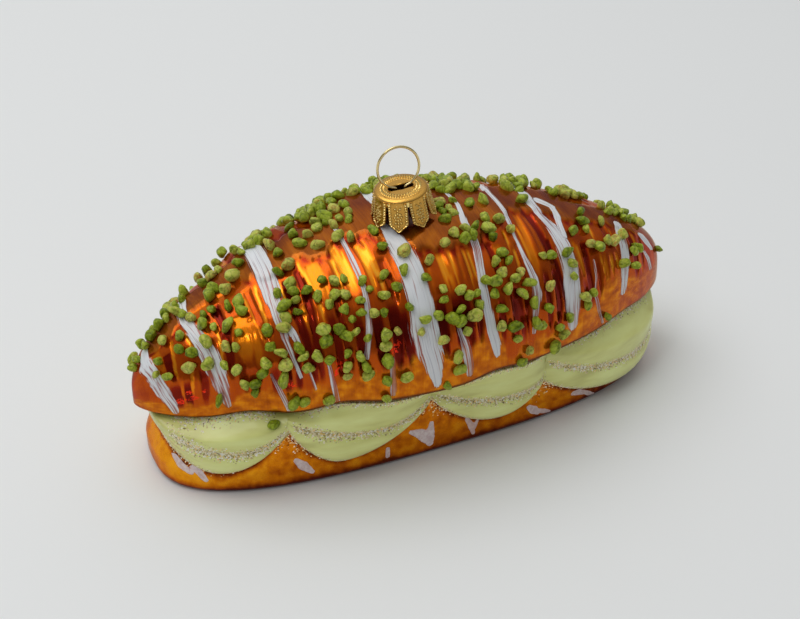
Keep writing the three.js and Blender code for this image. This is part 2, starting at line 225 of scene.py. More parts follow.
class Board:
    """The nodes of one material, or of the room."""

    def __init__(self, name, shelf=bpy.data.materials):
        self.owner = shelf.new(name)
        self.owner.use_nodes = True
        self.tree = self.owner.node_tree
        self.tree.nodes.clear()

    def node(self, kind, settings=None, inputs=None, output=0):
        made = self.tree.nodes.new(kind)
        for key, value in (settings or {}).items():
            if key == "stops":
                ramp = made.color_ramp
                while len(ramp.elements) < len(value):
                    ramp.elements.new(0.5)
                for element, (place, colour) in zip(ramp.elements, value):
                    element.position = place
                    element.color = colour
            else:
                setattr(made, key, value)
        for key, value in (inputs or {}).items():
            if isinstance(value, Wire):
                self.tree.links.new(value.socket, made.inputs[key])
            else:
                made.inputs[key].default_value = value
        return Wire(self, made.outputs[output]) if made.outputs else None

    def read(self, name):
        """A number that was noted on the mesh."""
        return self.node("ShaderNodeAttribute", {"attribute_name": name}, output="Fac")

    def place(self, name, stretch=(1, 1, 1)):
        """A noted place, stretched, for a texture to lie on."""
        noted = self.node("ShaderNodeAttribute", {"attribute_name": name}, output="Vector")
        return self.node(
            "ShaderNodeVectorMath", {"operation": "MULTIPLY"}, {0: noted, 1: stretch})

    def noise(self, where, detail=2, scale=1.0, rough=0.5):
        return self.node("ShaderNodeTexNoise", None,
                         {"Vector": where, "Scale": scale, "Detail": detail, "Roughness": rough})

    def grains(self, where, scale, output="Color"):
        """Random cells: a colour of its own for each, or the distance to its middle."""
        return self.node("ShaderNodeTexVoronoi", None, {"Vector": where, "Scale": scale}, output)

    def channel(self, colour, name):
        return self.node("ShaderNodeSeparateColor", None, {0: colour}, name)

    def glitter(self, scale):
        """Loose flakes of glitter, as thickly as was noted, and a number of its own for each."""
        cells = self.grains(self.place("lie"), scale)
        return ((self.read("glitter") - self.channel(cells, "Green")).above(0.0, 0.08),
                self.channel(cells, "Red"))

    def mix(self, amount, base, other):
        return self.node("ShaderNodeMix", {"data_type": "RGBA"},
                         {0: amount, 6: base, 7: other}, output=2)

    def ramp(self, value, *stops):
        """Blends colours over a value: (value, red, green, blue), as they are seen."""
        return self.node("ShaderNodeValToRGB",
                         {"stops": [(at, tint(*colour)) for at, *colour in stops]}, {0: value})

    def bump(self, height, strength, distance, under=None):
        below = {"Normal": under} if under else {}
        return self.node("ShaderNodeBump", None, {
            "Height": height, "Strength": strength, "Distance": distance * MM, **below})

    def paint(self, piece, **sockets):
        """Gives the piece this material, with these values on its shader's sockets."""
        shader = self.node("ShaderNodeBsdfPrincipled", None,
                           {name.replace("_", " "): value for name, value in sockets.items()})
        self.node("ShaderNodeOutputMaterial", None, {"Surface": shader})
        piece.data.materials.append(self.owner)


off_stroke = -4.0                   # the cover of a place far from any stroke


def nearest_stroke(x, v, strokes, narrow=0.05):
    """For places on a surface, the brush stroke that covers each one best: how well it covers
    (1 in its middle, 0 at its edge), the place across and along it, with bristles of its own,
    and how thick its paint is. A stroke is its paint's thickness at its two ends and a line of
    (x, v, half width)."""
    best = np.full(x.shape, -np.inf)
    across = np.zeros(x.shape)
    down = np.zeros(x.shape)
    body = np.zeros(x.shape)
    for number, (thick, thin, line) in enumerate(strokes):
        run = 0.0
        whole = sum(math.dist(p[:2], q[:2]) for p, q in zip(line, line[1:]))
        for (x0, v0, w0), (x1, v1, w1) in zip(line, line[1:]):
            dx, dv = x1 - x0, v1 - v0
            length = math.hypot(dx, dv)
            t = np.clip(((x - x0) * dx + (v - v0) * dv) / length**2, 0, 1)
            off_x, off_v = x - x0 - t * dx, v - v0 - t * dv
            width = np.maximum(w0 + t * (w1 - w0), narrow)
            cover = 1 - np.hypot(off_x, off_v) / width
            better = cover > best
            best = np.where(better, cover, best)
            signed = (off_x * dv - off_v * dx) / length
            across = np.where(better, signed + 7.3 * number, across)
            down = np.where(better, run + t * length + 31 * number, down)
            worn = (run + t * length) / whole
            body = np.where(better, thick + (thin - thick) * worn, body)
            run += length
    return np.maximum(best, off_stroke), across, down, body


# Flakes of paint on the wall: how thick, and (x, height, half width) along each.
flakes = [
    (0.9, [(-57.2, 7.6, 0.5), (-56.5, 6.2, 0.75), (-55.2, 5.2, 0.6)]),
    (0.9, [(-54.6, 6.4, 0.5), (-53.7, 5.6, 0.75), (-52.6, 3.6, 0.5)]),
    (0.9, [(-34.6, 6.9, 0.6), (-33.2, 5.2, 1.05), (-31.4, 3.2, 0.5)]),
    (0.8, [(-14.8, 4.6, 0.45), (-14.8, 2.6, 0.5)]),
    (1.0, [(-9.4, 7.3, 0.5), (-7.2, 6.2, 1.2), (-5.4, 4.4, 1.4), (-5.0, 2.9, 0.7)]),
    (1.0, [(-4.7, 8.2, 0.5), (-4.9, 5.6, 0.9), (-5.3, 3.8, 0.7)]),
    (0.6, [(3.7, 6.6, 0.5), (4.7, 4.4, 0.7), (5.3, 2.2, 0.4)]),
    (0.6, [(6.1, 5.4, 0.4), (5.6, 3.8, 0.4)]),
    (0.9, [(19.0, 4.6, 0.6), (20.2, 3.4, 1.0), (21.4, 2.3, 0.6)]),
    (0.8, [(21.2, 2.9, 0.5), (23.0, 2.0, 0.6), (24.6, 1.3, 0.3)]),
    (0.8, [(30.6, 3.9, 0.5), (32.2, 3.6, 0.8), (33.6, 2.9, 0.5)]),
    (0.7, [(33.6, 3.2, 0.4), (35.2, 1.9, 0.6), (36.8, 1.0, 0.3)]),
]

lip = dict(length=62.5, width=27.1, power=1.63, height=20.75, drop=3.54, roll=0.8)
rim = dict(length=60.4, width=25, power=1.63, tuck=1, below=0.5)
cheek = dict(length=58.5, width=22.6, power=2.7, bulge=0.3, lean=1.5)
ceiling_form = dict(length=51, width=17, power=1.63)

# Where each lobe starts and ends, where its edge and its crease hang lowest, their heights at
# the start, there and at the end, and how far the crust's lip rises over the lobe, and where.
lobes = [
    dict(start=-58.5, end=-36.2, edge_low=-50.5, edge=(11, 5.8, 15.9),
         crease_low=-46.5, crease=(15, 11.3, 16.7), lift=1.5, lift_x=-43),
    dict(start=-36.2, end=-5.2, edge_low=-25, edge=(15.9, 5.8, 15.9),
         crease_low=-17, crease=(17.6, 12, 17), lift=1.5, lift_x=-25),
    dict(start=-5.2, end=21.8, edge_low=11, edge=(15.9, 6.2, 11.8),
         crease_low=15.5, crease=(17.6, 11.2, 13), lift=1.2, lift_x=8),
    dict(start=21.8, end=58.5, edge_low=45, edge=(11.8, 3.4, 8),
         crease_low=49, crease=(17.4, 8.8, 13), lift=0.9, lift_x=45),
]
lift_width, lift_dip = 6, 0.4


def lip_height(x):
    height = lip["height"] - lip["drop"] * (x / lip["length"]) ** 2 - lift_dip
    for lobe in lobes:
        height = height + lobe["lift"] * bell(x - lobe["lift_x"], lift_width)
    return height


def garland(x, line):
    """Height of the lobes' edge or crease, and how full they are there: 0 at a join, 1 at the
    lowest point."""
    at = np.clip(x, lobes[0]["start"], lobes[-1]["end"])
    height, full = np.zeros(x.shape), np.zeros(x.shape)
    for lobe in lobes:
        inside = (at >= lobe["start"]) & (at <= lobe["end"])
        low = lobe[line + "_low"]
        first = 0.5 * (at - lobe["start"]) / (low - lobe["start"])
        second = 0.5 + 0.5 * (at - low) / (lobe["end"] - low)
        part = np.clip(np.where(at < low, first, second), 0, 1)
        bow = np.maximum(np.sin(math.pi * part), 0)
        left, lowest, right_end = lobe[line]
        join = np.where(part < 0.5, left, right_end)
        height = np.where(inside, join + (lowest - join) * bow**0.75, height)
        full = np.where(inside, bow**0.6, full)
    return height, full


def edge_glitter(x):
    """How much glitter lies along the lobes' lower edge: most at the joins."""
    least, most, fade, join_width = 0.25, 0.95, 0.5, 3
    amount = np.full(x.shape, least)
    for lobe in lobes:
        falling = most - fade * (x - lobe["start"]) / (lobe["edge_low"] - lobe["start"])
        left = (x >= lobe["start"]) & (x < lobe["edge_low"])
        amount = np.where(left, np.maximum(amount, falling), amount)
        amount = np.maximum(amount, most * bell(x - lobe["end"], join_width))
    return amount


heights = np.concatenate([
    foot["radius"] * (1 - np.cos(np.linspace(0, math.pi / 2, 9))),
    np.linspace(foot["radius"], wall["top"] - 0.5, 34)[1:],
])
lower_crust = skin(
    "lower_crust", [*[wall_ring(h) for h in heights], table_ring(wall["top"])])

# Notes for its material: paint, a place to lie on, glitter under the lobes, painted shade where
# the lacquer lies under them and painted light where it runs towards the tips. The far side's
# flakes are the near side's, turned half round.
x, y, z = places_on(lower_crust)
cover, _, _, body = nearest_stroke(
    np.where(y < 0, x, -x), z, [(thick, thick, line) for thick, line in flakes])
note(lower_crust, "flake", cover)
note(lower_crust, "flake_body", body)
note(lower_crust, "lie", points_of(x, z, y))
under_lobe = garland(x, "edge")[0] - z
near_join = sum(bell(x - lobe["end"], 3.2) for lobe in lobes[:-1])
note(lower_crust, "glitter",
     edge_glitter(x) * bell(np.maximum(under_lobe, 0), 0.9 + 2.3 * near_join))
note(lower_crust, "shade", 1 - smooth(0, 2.6, under_lobe))
note(lower_crust, "gold", smooth(36, 57, np.abs(x)))

board = Board("amber lacquer over silvered glass")
cloud = board.noise(board.place("lie", (0.16, 0.3, 0.16)), 3)
blotch = board.noise(board.place("lie", (0.5, 0.45, 0.5)))
height = board.node("ShaderNodeSeparateXYZ", None, {0: board.place("lie")}, "Y")
# The lacquer darkens towards the foot.
low_edge = 1 - height.above(0.2, 3.2)
depth = cloud * 0.5 + blotch * 0.65 - 0.07 - low_edge * 0.5
# Painted shade darkens the lacquer under the lobes, and painted light lightens it towards the
# tips.
depth = depth - board.read("shade") * 0.65 + board.read("gold") * 0.22
lacquer = board.ramp(
    depth, (0.14, 112, 40, 2), (0.34, 180, 86, 4), (0.54, 224, 128, 8), (0.75, 252, 168, 26))
ragged = board.noise(board.place("lie", (0.9, 0.9, 0.9)))
flake = (board.read("flake") + 0.1 + (ragged - 0.5) * 0.35).above(0.0, 0.14)
chalk = board.mix(board.noise(board.place("lie", (1.6, 1.2, 1.6))).above(0.35, 0.7),
                  tint(222, 200, 202), tint(240, 226, 228))
line, pick = board.glitter(3.4)
copper = board.ramp(
    pick, (0.0, 96, 44, 6), (0.3, 170, 88, 26), (0.6, 216, 148, 70), (0.84, 250, 222, 160),
    (0.97, 255, 250, 236))
relief = board.bump(board.noise(board.place("lie", (0.5, 0.35, 0.5))), 0.5, 0.5)
relief = board.bump(flake, 0.5, 0.12, relief)
flake_amount = flake * (board.read("flake_body") * 0.5 + 0.5)
board.paint(
    lower_crust,
    Base_Color=board.mix(flake_amount, board.mix(line, lacquer, copper), chalk),
    Metallic=(1 - flake) * 0.8,
    Roughness=0.17 + flake * 0.3 + line * 0.15,
    Specular_Tint=tint(215, 155, 60), Coat_Weight=0.08, Coat_Roughness=0.04, Normal=relief,
)
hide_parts("crust_base")
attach(lower_crust, "root")


# ---------------------------------------------------------------------------------------------
# Filling: piped pistachio cream, four hanging lobes a side, each folded into an upper and a
# lower fullness. The same blown glass under opaque pale green lacquer, with lines of glitter.
# ---------------------------------------------------------------------------------------------

def rim_ring(height):
    x = rim["length"] * along
    return points_of(x, side * half_width(rim, along), lip_height(x) + height)


def ceiling(step_up):
    """The curved surface between filling and upper crust."""
    x = ceiling_form["length"] * along
    height = lip["height"] - lip["drop"] * (x / lip["length"]) ** 2 + rim["tuck"] + step_up
    return points_of(x, side * half_width(ceiling_form, along), height)


# How far the filling stands out, from the lobes' edge (0) over the crease (1) to the lip (2),
# with the corners of the line worn off.
puff = [(0, 0.8), (0.12, 1.55), (0.3, 2.2), (0.55, 2.5), (0.8, 2.1), (0.93, 1.5), (1, 1.1),
        (1.07, 1.5), (1.2, 2.0), (1.4, 2.2), (1.65, 2.0), (1.85, 1.6), (2, 1.2)]
fold_at = np.linspace(0, 2, 201)
puff_curve = np.convolve(
    np.pad(np.interp(fold_at, *zip(*puff)), 4, mode="edge"), np.ones(9) / 9, "valid")


def cheek_ring(fold):
    """One ring of the filling's outer wall."""
    outline = 1 - smooth(1.5, 2.0, fold)
    x = (cheek["length"] * outline + rim["length"] * (1 - outline)) * along
    edge, edge_full = garland(x, "edge")
    crease, crease_full = garland(x, "crease")
    ends_at = lip_height(x) - rim["below"]
    if fold < 1:
        height = edge + (crease - edge) * fold
        full = edge_full
    else:
        height = crease + (ends_at - crease) * (fold - 1)
        full = crease_full
    swell = np.interp(fold, fold_at, puff_curve) * full
    x = x - cheek["lean"] * smooth(0.7, 1.0, -along) * smooth(0.3, 1.0, fold) * outline
    y = half_width(cheek, along) * outline + half_width(rim, along) * (1 - outline)
    out = 1 + swell / cheek["width"]
    return points_of(x + cheek["bulge"] * swell * along**5, side * y * out, height)


def skirt(part):
    """Behind the lobes, the filling hangs down the lower crust's wall."""
    low = garland(wall["shift"] + wall["length"] * along, "edge")[0] + gap
    return low + np.maximum(0, wall["top"] - gap / 2 - low) * part


folds = np.concatenate([np.linspace(0, 1, 25), np.linspace(1, 2, 25)[1:-1]])
hidden_rings = [table_ring(wall["top"] + gap)]
hidden_rings += [wall_ring(skirt(part), gap) for part in (1, 0.75, 0.5, 0.25, 0)]
top_rings = [rim_ring(-rim["below"]), rim_ring(rim["tuck"] - gap), ceiling(-gap)]
cream = skin("piped_cream", [*hidden_rings, *[cheek_ring(fold) for fold in folds], *top_rings])

x, y, z = places_on(cream)
fold_of = np.repeat([*[-1.0] * len(hidden_rings), *folds, *[2.0] * len(top_rings)], len(along))
outside = fold_of > -0.5
edge_height, edge_full = garland(x, "edge")
crease_height, crease_full = garland(x, "crease")

# How thickly the glitter lies, 0 to 1. The crease's line is broad, and broadest on the left
# lobe. The edge's line is broad only down the left side of each lobe.
reach = 1.0 + 0.9 * bell(x + 56, 9) + 0.6 * bell(x + 30, 4)
crease_line = 1.05 * bell(z - crease_height, 0.85 * reach) * smooth(0.05, 0.4, crease_full)
edge_line = edge_glitter(x) * bell(z - edge_height, 0.75)
lip_line = 0.9 * bell(lip_height(x) - rim["below"] - z, 1.0) * smooth(0.25, 0.7, crease_full)
glitter = np.maximum(np.maximum(crease_line, edge_line), lip_line)
note(cream, "glitter", np.where(outside, glitter, 0))
# Painted shade: the filling is darker towards the joins between its lobes, and where it is
# hidden.
note(cream, "deep", np.where(outside, 1 - np.minimum(edge_full, 1), 1))
note(cream, "lie", points_of(x, y, z))

board = Board("pistachio lacquer on glass")
thin = board.noise(board.place("lie", (0.09, 0.12, 0.35)), 3)
# Pale green lacquer, darkened by the painted shade at the joins.
pale = board.ramp(
    thin - board.read("deep") * 0.28, (0.12, 200, 198, 108), (0.42, 228, 230, 138),
    (0.7, 240, 246, 158))
line, pick = board.glitter(3.6)
speck = board.ramp(
    pick, (0.0, 112, 100, 56), (0.07, 176, 160, 100), (0.28, 214, 196, 130),
    (0.55, 244, 232, 190), (0.85, 255, 255, 246), (0.95, 255, 214, 120))
from_middle = board.grains(board.place("lie"), 3.6, "Distance")
board.paint(
    cream,
    Base_Color=board.mix(line, pale, speck),
    Roughness=0.48 - line * 0.03,
    Coat_Weight=0.6 - line * 0.5, Coat_Roughness=0.06,
    Normal=board.bump((1 - from_middle) * line, 0.4, 0.3),
)
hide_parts("cream")
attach(cream, "root")


# ---------------------------------------------------------------------------------------------
# Upper crust: the ridged dome, blown in a mould and silvered inside, so that its brown and
# amber lacquer glows. Brown over the crown, fluted on its flanks, with white brush strokes.
# ---------------------------------------------------------------------------------------------

dome = dict(rise=28.4, length_power=1.3, rise_power=2.15, girth_power=2.4, tip_rise=3)
ridges = dict(depth=0.55, count=13, slant=0.16, swirl=2.1)
ARC = math.radians(1) * 26          # millimetres of surface for a degree round the dome

# Where the brown crown ends on the near side: (x, degrees up from the lip).
crown_edge = [
    (-62, 92), (-57, 79), (-53, 84), (-48, 96), (-44, 99), (-40, 96), (-37, 87), (-33, 80),
    (-27, 85), (-22, 79), (-19, 84), (-17, 86), (-12, 82), (-8, 70), (-3, 64), (1, 62), (6, 62),
    (10, 63), (14, 72), (17, 74), (20, 80), (26, 80), (30, 77), (34, 70), (38, 73), (44, 70),
    (48, 66), (52, 64), (58, 52), (62, 48),
]
# Where the amber band along the lip ends.
band_edge = [
    (-62, 16), (-57, 8), (-46, 8), (-42, 11), (-36, 11), (-28, 9), (-20, 13), (-10, 14),
    (-2, 14), (4, 15), (9, 13), (10.5, 3), (12, 3), (15, 7), (20, 9), (26, 9), (31, 14),
    (36, 14), (39, 26), (44, 26), (48, 20), (62, 24),
]
# Flutes of the near flank: x, where each starts and ends up from the lip, half its width, and
# its lacquer, from -1 for dark red-brown to 1 for bright yellow-orange. The dark and amber bands
# are the lacquer's own; the bright narrow flutes are partly painted highlights along their edges.
flutes = [
    (-47.5, 99, 84, 2.6, 0.3), (-42.0, 100, 84, 3.0, 0.3),
    (-60.6, 60, 12, 0.6, -0.2), (-57.0, 78, 48, 0.9, 0.3), (-55.2, 66, 34, 0.8, -0.8),
    (-54.3, 78, 36, 0.35, 0.75), (-55.7, 32, 8, 1.1, -0.8), (-53.8, 34, 9, 0.4, 0.2),
    (-52.8, 32, 8, 0.8, -0.85), (-52.2, 50, 18, 0.35, 0.75), (-51.1, 76, 50, 0.3, 0.9),
    (-50.6, 42, 10, 0.8, -0.6), (-47.5, 80, 66, 0.35, 0.9), (-46.3, 66, 34, 0.3, 0.95),
    (-45.2, 62, 26, 0.8, -0.6), (-43.9, 84, 54, 0.8, -0.8), (-43.4, 40, 12, 0.8, -0.3),
    (-41.3, 68, 34, 1.7, 0.5), (-39.7, 62, 28, 0.8, 0.38), (-38.6, 78, 44, 0.3, 1.0),
    (-37.4, 82, 42, 0.8, -0.25), (-36.2, 82, 46, 0.35, 0.85), (-40.8, 30, 12, 0.9, -0.35),
    (-37.8, 30, 10, 0.9, -0.6), (-34.9, 34, 9, 0.9, -0.75), (-32.8, 36, 10, 0.7, -0.85),
    (-31.6, 78, 56, 0.45, 0.85), (-30.3, 76, 14, 0.8, -0.75), (-29.1, 58, 44, 0.3, 0.7),
    (-28.2, 80, 14, 0.7, -0.7), (-26.8, 84, 42, 0.4, 0.85), (-25.2, 50, 12, 0.9, -0.55),
    (-24.2, 80, 56, 1.6, 0.5), (-22.6, 60, 16, 0.7, -0.4), (-21.4, 78, 58, 0.5, 0.75),
    (-20.2, 79, 58, 0.35, 0.9), (-18.9, 85, 56, 1.0, 0.7), (-17.8, 80, 56, 0.3, 1.0),
    (-20.4, 46, 14, 0.9, -0.6), (-15.3, 80, 52, 0.7, 0.75), (-14.0, 76, 50, 0.5, 1.0),
    (-12.9, 82, 54, 0.3, 0.6), (-11.4, 68, 42, 0.8, -0.3), (-16.0, 44, 13, 1.2, -0.85),
    (-13.4, 46, 12, 1.2, -1.0), (-11.0, 42, 12, 1.0, -1.0), (-3.5, 62, 44, 0.5, 0.1),
    (-1.3, 61, 42, 0.35, 0.85), (-0.2, 61, 43, 0.55, 0.75), (0.9, 60, 43, 0.3, 0.2),
    (1.9, 61, 42, 0.4, 0.8), (3.1, 60, 42, 0.4, 0.1), (4.3, 61, 41, 0.4, 0.85),
    (5.4, 60, 42, 0.4, 0.8), (-2.9, 41, 14, 1.1, -1.0), (-0.4, 41, 16, 1.1, -1.0),
    (2.2, 41, 15, 1.1, -0.95), (4.5, 38, 15, 0.8, -0.8), (10.5, 62, 40, 0.7, -0.55),
    (12.6, 60, 50, 1.0, 0.4), (10.3, 36, 13, 0.9, -0.75), (12.6, 38, 13, 0.9, -0.85),
    (14.8, 40, 11, 0.9, -0.7), (15.6, 68, 56, 0.4, 0.9), (16.3, 57, 42, 0.35, 0.95),
    (17.2, 60, 26, 0.4, -0.2), (16.6, 36, 12, 0.6, -0.5), (20.0, 70, 44, 0.3, 0.8),
    (21.0, 79, 40, 0.8, 0.4), (22.8, 77, 52, 0.9, 0.05), (24.8, 79, 44, 0.9, -0.5),
    (22.4, 44, 12, 0.8, -0.75), (24.4, 46, 11, 0.9, -0.85), (26.2, 60, 14, 0.5, -0.95),
    (32.1, 57, 34, 0.6, 0.3), (33.1, 54, 34, 0.3, 0.85), (32.4, 34, 16, 0.7, -0.4),
    (34.6, 56, 18, 0.9, -0.6), (36.8, 46, 20, 0.6, -0.4), (38.8, 73, 56, 0.4, 0.9),
    (38.6, 49, 28, 0.3, 0.85), (40.0, 47, 28, 0.5, 0.5), (41.5, 47, 30, 0.6, 1.0),
    (42.9, 48, 31, 0.5, 0.9), (44.3, 66, 44, 0.35, 0.5), (42.0, 70, 50, 0.9, -0.2),
    (49.4, 66, 22, 0.9, -0.6), (51.3, 63, 46, 0.4, 0.7), (51.6, 42, 22, 0.6, 0.3),
    (53.0, 60, 26, 0.5, -0.4), (57.2, 50, 22, 0.7, 0.15), (59.4, 44, 18, 0.6, -0.1),
]
# Painted red glints, where the silvering glints through the lacquer: (x, degrees up, size).
painted_glints = [(-55, 13, 1.3), (-53.2, 20, 0.8), (-52.4, 15, 0.9), (-50.6, 19, 0.7), (-34.5, 14, 0.8),
          (-25.3, 19, 1.1), (-26.2, 15, 0.7), (-14.2, 21, 1.1), (-13, 24, 0.7), (-41.8, 9, 0.5)]
# White brush strokes of the near side: how thick the paint is at the top and at the end, then
# (x, degrees from the near lip, half width) down each.
strokes = [
    (1.0, 0.45, [(-58.7, 104, 0.6), (-59.3, 88, 1.0), (-59.6, 76, 1.25), (-59.4, 62, 1.2),
        (-58.9, 50, 1.25), (-58.4, 36, 1.3), (-57.5, 20, 1.4), (-56.6, 10, 1.1),
        (-56.0, 3, 0.5)]),
    (0.8, 0.35, [(-49.2, 110, 1.3), (-50.4, 88, 1.1), (-49.8, 74, 1.2), (-49.2, 62, 1.4),
        (-48.6, 50, 1.7), (-48.1, 34, 1.7), (-47.3, 18, 1.4), (-46.6, 5, 0.5)]),
    (1.05, 0.3, [(-32.6, 116, 2.0), (-33.0, 96, 2.2), (-33.5, 82, 2.0), (-34.0, 66, 1.5),
        (-34.2, 54, 1.2), (-34.3, 42, 0.7), (-33.6, 30, 0.45), (-32.6, 17, 0.3)]),
    (0.8, 0.5, [(-33.4, 51, 0.6), (-32.6, 44, 0.8), (-31.9, 36, 0.5)]),
    (0.35, 0.25, [(-38.1, 22, 0.35), (-36.8, 10, 0.45), (-35.5, 1, 0.4)]),
    (0.3, 0.25, [(-31.2, 22, 0.25), (-30.2, 9, 0.3)]),
    (0.35, 0.3, [(-27.3, 21, 0.35), (-26.8, 10, 0.5), (-26.3, 1, 0.5)]),
    (0.75, 0.35, [(-16.2, 108, 0.5), (-16.7, 84, 0.5), (-17.0, 68, 0.6), (-17.3, 52, 0.5),
        (-18.4, 34, 0.7), (-19.7, 20, 0.5)]),
    (0.3, 0.25, [(-14.9, 18, 0.6), (-15.1, 3, 0.7)]),
    (1.05, 0.85, [(-8.1, 82, 1.1), (-7.6, 74, 1.9), (-7.2, 64, 2.2), (-7.0, 52, 2.5),
        (-7.1, 40, 2.7), (-7.5, 28, 2.9), (-7.2, 18, 2.8), (-6.4, 10, 2.0),
        (-5.9, 4, 1.0)]),
    (0.9, 0.9, [(-4.4, 120, 1.3), (-5.6, 106, 1.2), (-6.6, 96, 0.7)]),
    (0.35, 0.3, [(-0.2, 24, 0.5), (0.8, 14, 1.0), (1.4, 4, 0.9)]),
    (0.6, 1.0, [(9.2, 100, 0.5), (9.6, 86, 0.5), (8.1, 74, 0.8), (8.3, 60, 0.9), (7.4, 50, 1.0),
        (6.8, 40, 1.0), (6.6, 28, 1.15), (6.8, 18, 1.3), (7.7, 10, 1.2),
        (8.0, 6, 0.6)]),
    (0.65, 0.35, [(20.6, 106, 1.0), (19.3, 92, 0.7), (18.9, 78, 0.6), (18.2, 62, 0.45),
        (18.4, 50, 0.5), (19.1, 38, 0.9), (18.9, 30, 1.2), (17.9, 20, 0.8),
        (17.4, 12, 0.5)]),
    (0.9, 0.65, [(27.6, 108, 1.0), (27.4, 92, 1.3), (26.9, 84, 1.3), (27.3, 76, 0.9),
        (28.6, 66, 1.6), (29.2, 54, 1.9), (29.1, 42, 2.0), (28.7, 28, 2.1),
        (28.4, 18, 2.1), (28.2, 9, 1.6)]),
    (0.9, 0.7, [(29.4, 87, 1.1), (31.8, 83, 0.9), (31.6, 76, 0.8), (30.8, 68, 0.8),
        (30.4, 60, 0.9)]),
    (0.35, 0.3, [(36.2, 42, 0.3), (36.1, 30, 0.35), (35.0, 20, 0.5), (36.0, 10, 0.5),
        (37.4, 2, 0.4)]),
    (0.95, 0.6, [(47.7, 72, 1.2), (47.2, 60, 1.3), (46.9, 50, 1.4), (46.4, 40, 1.4),
        (45.4, 30, 1.5), (44.6, 20, 1.35), (44.1, 13, 1.0)]),
    (1.0, 0.8, [(54.4, 63, 1.2), (56.2, 52, 1.3), (57.2, 45, 0.8)]),
    (0.5, 0.35, [(53.8, 42, 0.5), (55.0, 32, 1.0), (55.6, 22, 0.9)]),
]


def flank_marks(x, up_from):
    """Relief and lacquer of one flank, for places given along X and in degrees from its lip, with
    painted highlights on its bright flutes and painted shadow in the notches under the crown.
    """
    lacquer = np.full(x.shape, -0.12)
    cut = np.zeros(x.shape)
    for at, top, bottom, half, tone in flutes:
        sway = at + 0.5 * np.sin(0.06 * up_from + at)
        taper = 0.5 + 0.5 * smooth(bottom - 4, bottom + 10, up_from)
        shape = 1 - smooth(0.7, 1.08, np.abs(x - sway) / (half * taper))
        fade = 2.2 if top > 50 else 10
        reach = smooth(bottom - 5, bottom + 5, up_from) * (1 - smooth(top - fade, top, up_from))
        amount = shape * reach
        lacquer = lacquer + (tone - lacquer) * amount
        cut = np.maximum(cut, amount * (0.42 if tone < 0 else 0.22) * min(1.0, half + 0.4))
    scallop = 1.0 * np.sin(x * 1.9) + 0.5 * np.sin(x * 3.7 + 1)
    over_edge = up_from - np.interp(x, *zip(*crown_edge)) - scallop
    crown = smooth(-1.2, 1.2, over_edge)
    # Painted shadow in the notches just under the crown's scalloped edge.
    notch_shadow = smooth(-6, -1.5, over_edge) * (1 - crown) * (0.5 + 0.5 * np.sin(x * 2.7 + 0.8))
    ripple = 1.3 * np.sin(x * 1.3 + 2) + 0.7 * np.sin(x * 2.9) + 0.3 * np.sin(x * 5.3 + 1)
    band = 1 - smooth(-2.5, 2.5, up_from - np.interp(x, *zip(*band_edge)) - ripple)
    return lacquer - 0.5 * notch_shadow, cut, crown, band


def stroke_marks(x, up_from):
    """The brush strokes of one flank."""
    unrolled = [(thick, thin, [(at, degrees * ARC, half) for at, degrees, half in line])
                for thick, thin, line in strokes]
    return nearest_stroke(x, up_from * ARC, unrolled)


def painted_glint_marks(x, up_from):
    """The painted red glints of one flank."""
    return sum(np.exp(-((x - at) ** 2 + ((up_from - degrees) * ARC) ** 2) / size**2)
               for at, degrees, size in painted_glints)


# Rolls of the pastry that stand up over the crown: (x, height, half width).
rolls = [(-53, 0.5, 3), (-34.5, 1.7, 3.6), (-25.5, 0.9, 3), (-11, 0.5, 4), (30, 0.35, 4)]


def dome_surface(x, around, relief=0.0):
    """Points of the dome, for places along X and in degrees from the near lip over the crest."""
    t = np.minimum(np.abs(x) / lip["length"], 1)
    half = half_width(lip, t)
    fall = np.maximum(0, 1 - t ** dome["length_power"]) ** (1 / dome["rise_power"])
    rise = dome["tip_rise"] + (dome["rise"] - dome["tip_rise"]) * fall
    c, s = np.cos(np.radians(around)), np.maximum(np.sin(np.radians(around)), 0)
    out = np.sign(c) * np.abs(c) ** (2 / dome["girth_power"])
    high = s ** (2 / dome["girth_power"])
    base = lip["height"] - lip["drop"] * t**2
    lift = (lip_height(x) - base) * (1 - s) ** 1.5
    wave = ridges["count"] * math.pi * (x / lip["length"]
                                        + ridges["slant"] * np.sin(ridges["swirl"] * c))
    swell = ridges["depth"] * np.sin(wave) * s**0.5 * np.abs(c) ** 0.8 * fall
    over_crown = smooth(66, 100, around) * (1 - smooth(128, 160, around))
    for at, height, half_roll in rolls:
        relief = relief + height * bell(x - at, half_roll) * over_crown
    girth = 1 + (swell + relief * np.minimum(1, 6 * (1 - t))) / lip["width"]
    return points_of(x, -half * out * girth, base + lift + rise * high * girth)


def lip_edge(inset, height):
    y = side * half_width(lip, along) * (1 - inset / lip["width"])
    z = lip_height(lip["length"] * along) + height
    return points_of((lip["length"] - inset) * along, y, z)


along, side = round_trip(480)
rows = np.concatenate([[1.0, 2.2], np.arange(3.5, 88.5, 1.15), [89.0]])[:, None]
x_grid, up_grid = np.broadcast_arrays(lip["length"] * along, rows)
around_grid = np.where(side < 0, up_grid, 180 - up_grid)
tone, cut, crown, band = flank_marks(np.where(side < 0, x_grid, -x_grid), up_grid)
under_lip = [
    ceiling(0), rim_ring(rim["tuck"]), lip_edge(lip["roll"], 0),
    lip_edge(0.4 * lip["roll"], 0.05), lip_edge(0.15 * lip["roll"], 0.3),
]
crust = skin("upper_crust", [
    *under_lip, *dome_surface(x_grid, around_grid, 0.5 * crown - 1.1 * cut)], crease=60)


def whole(grid, hidden=0.0):
    """A grid's values, after one value for all the points under the lip."""
    return np.concatenate([np.full(len(under_lip) * len(along), hidden), grid.ravel()])
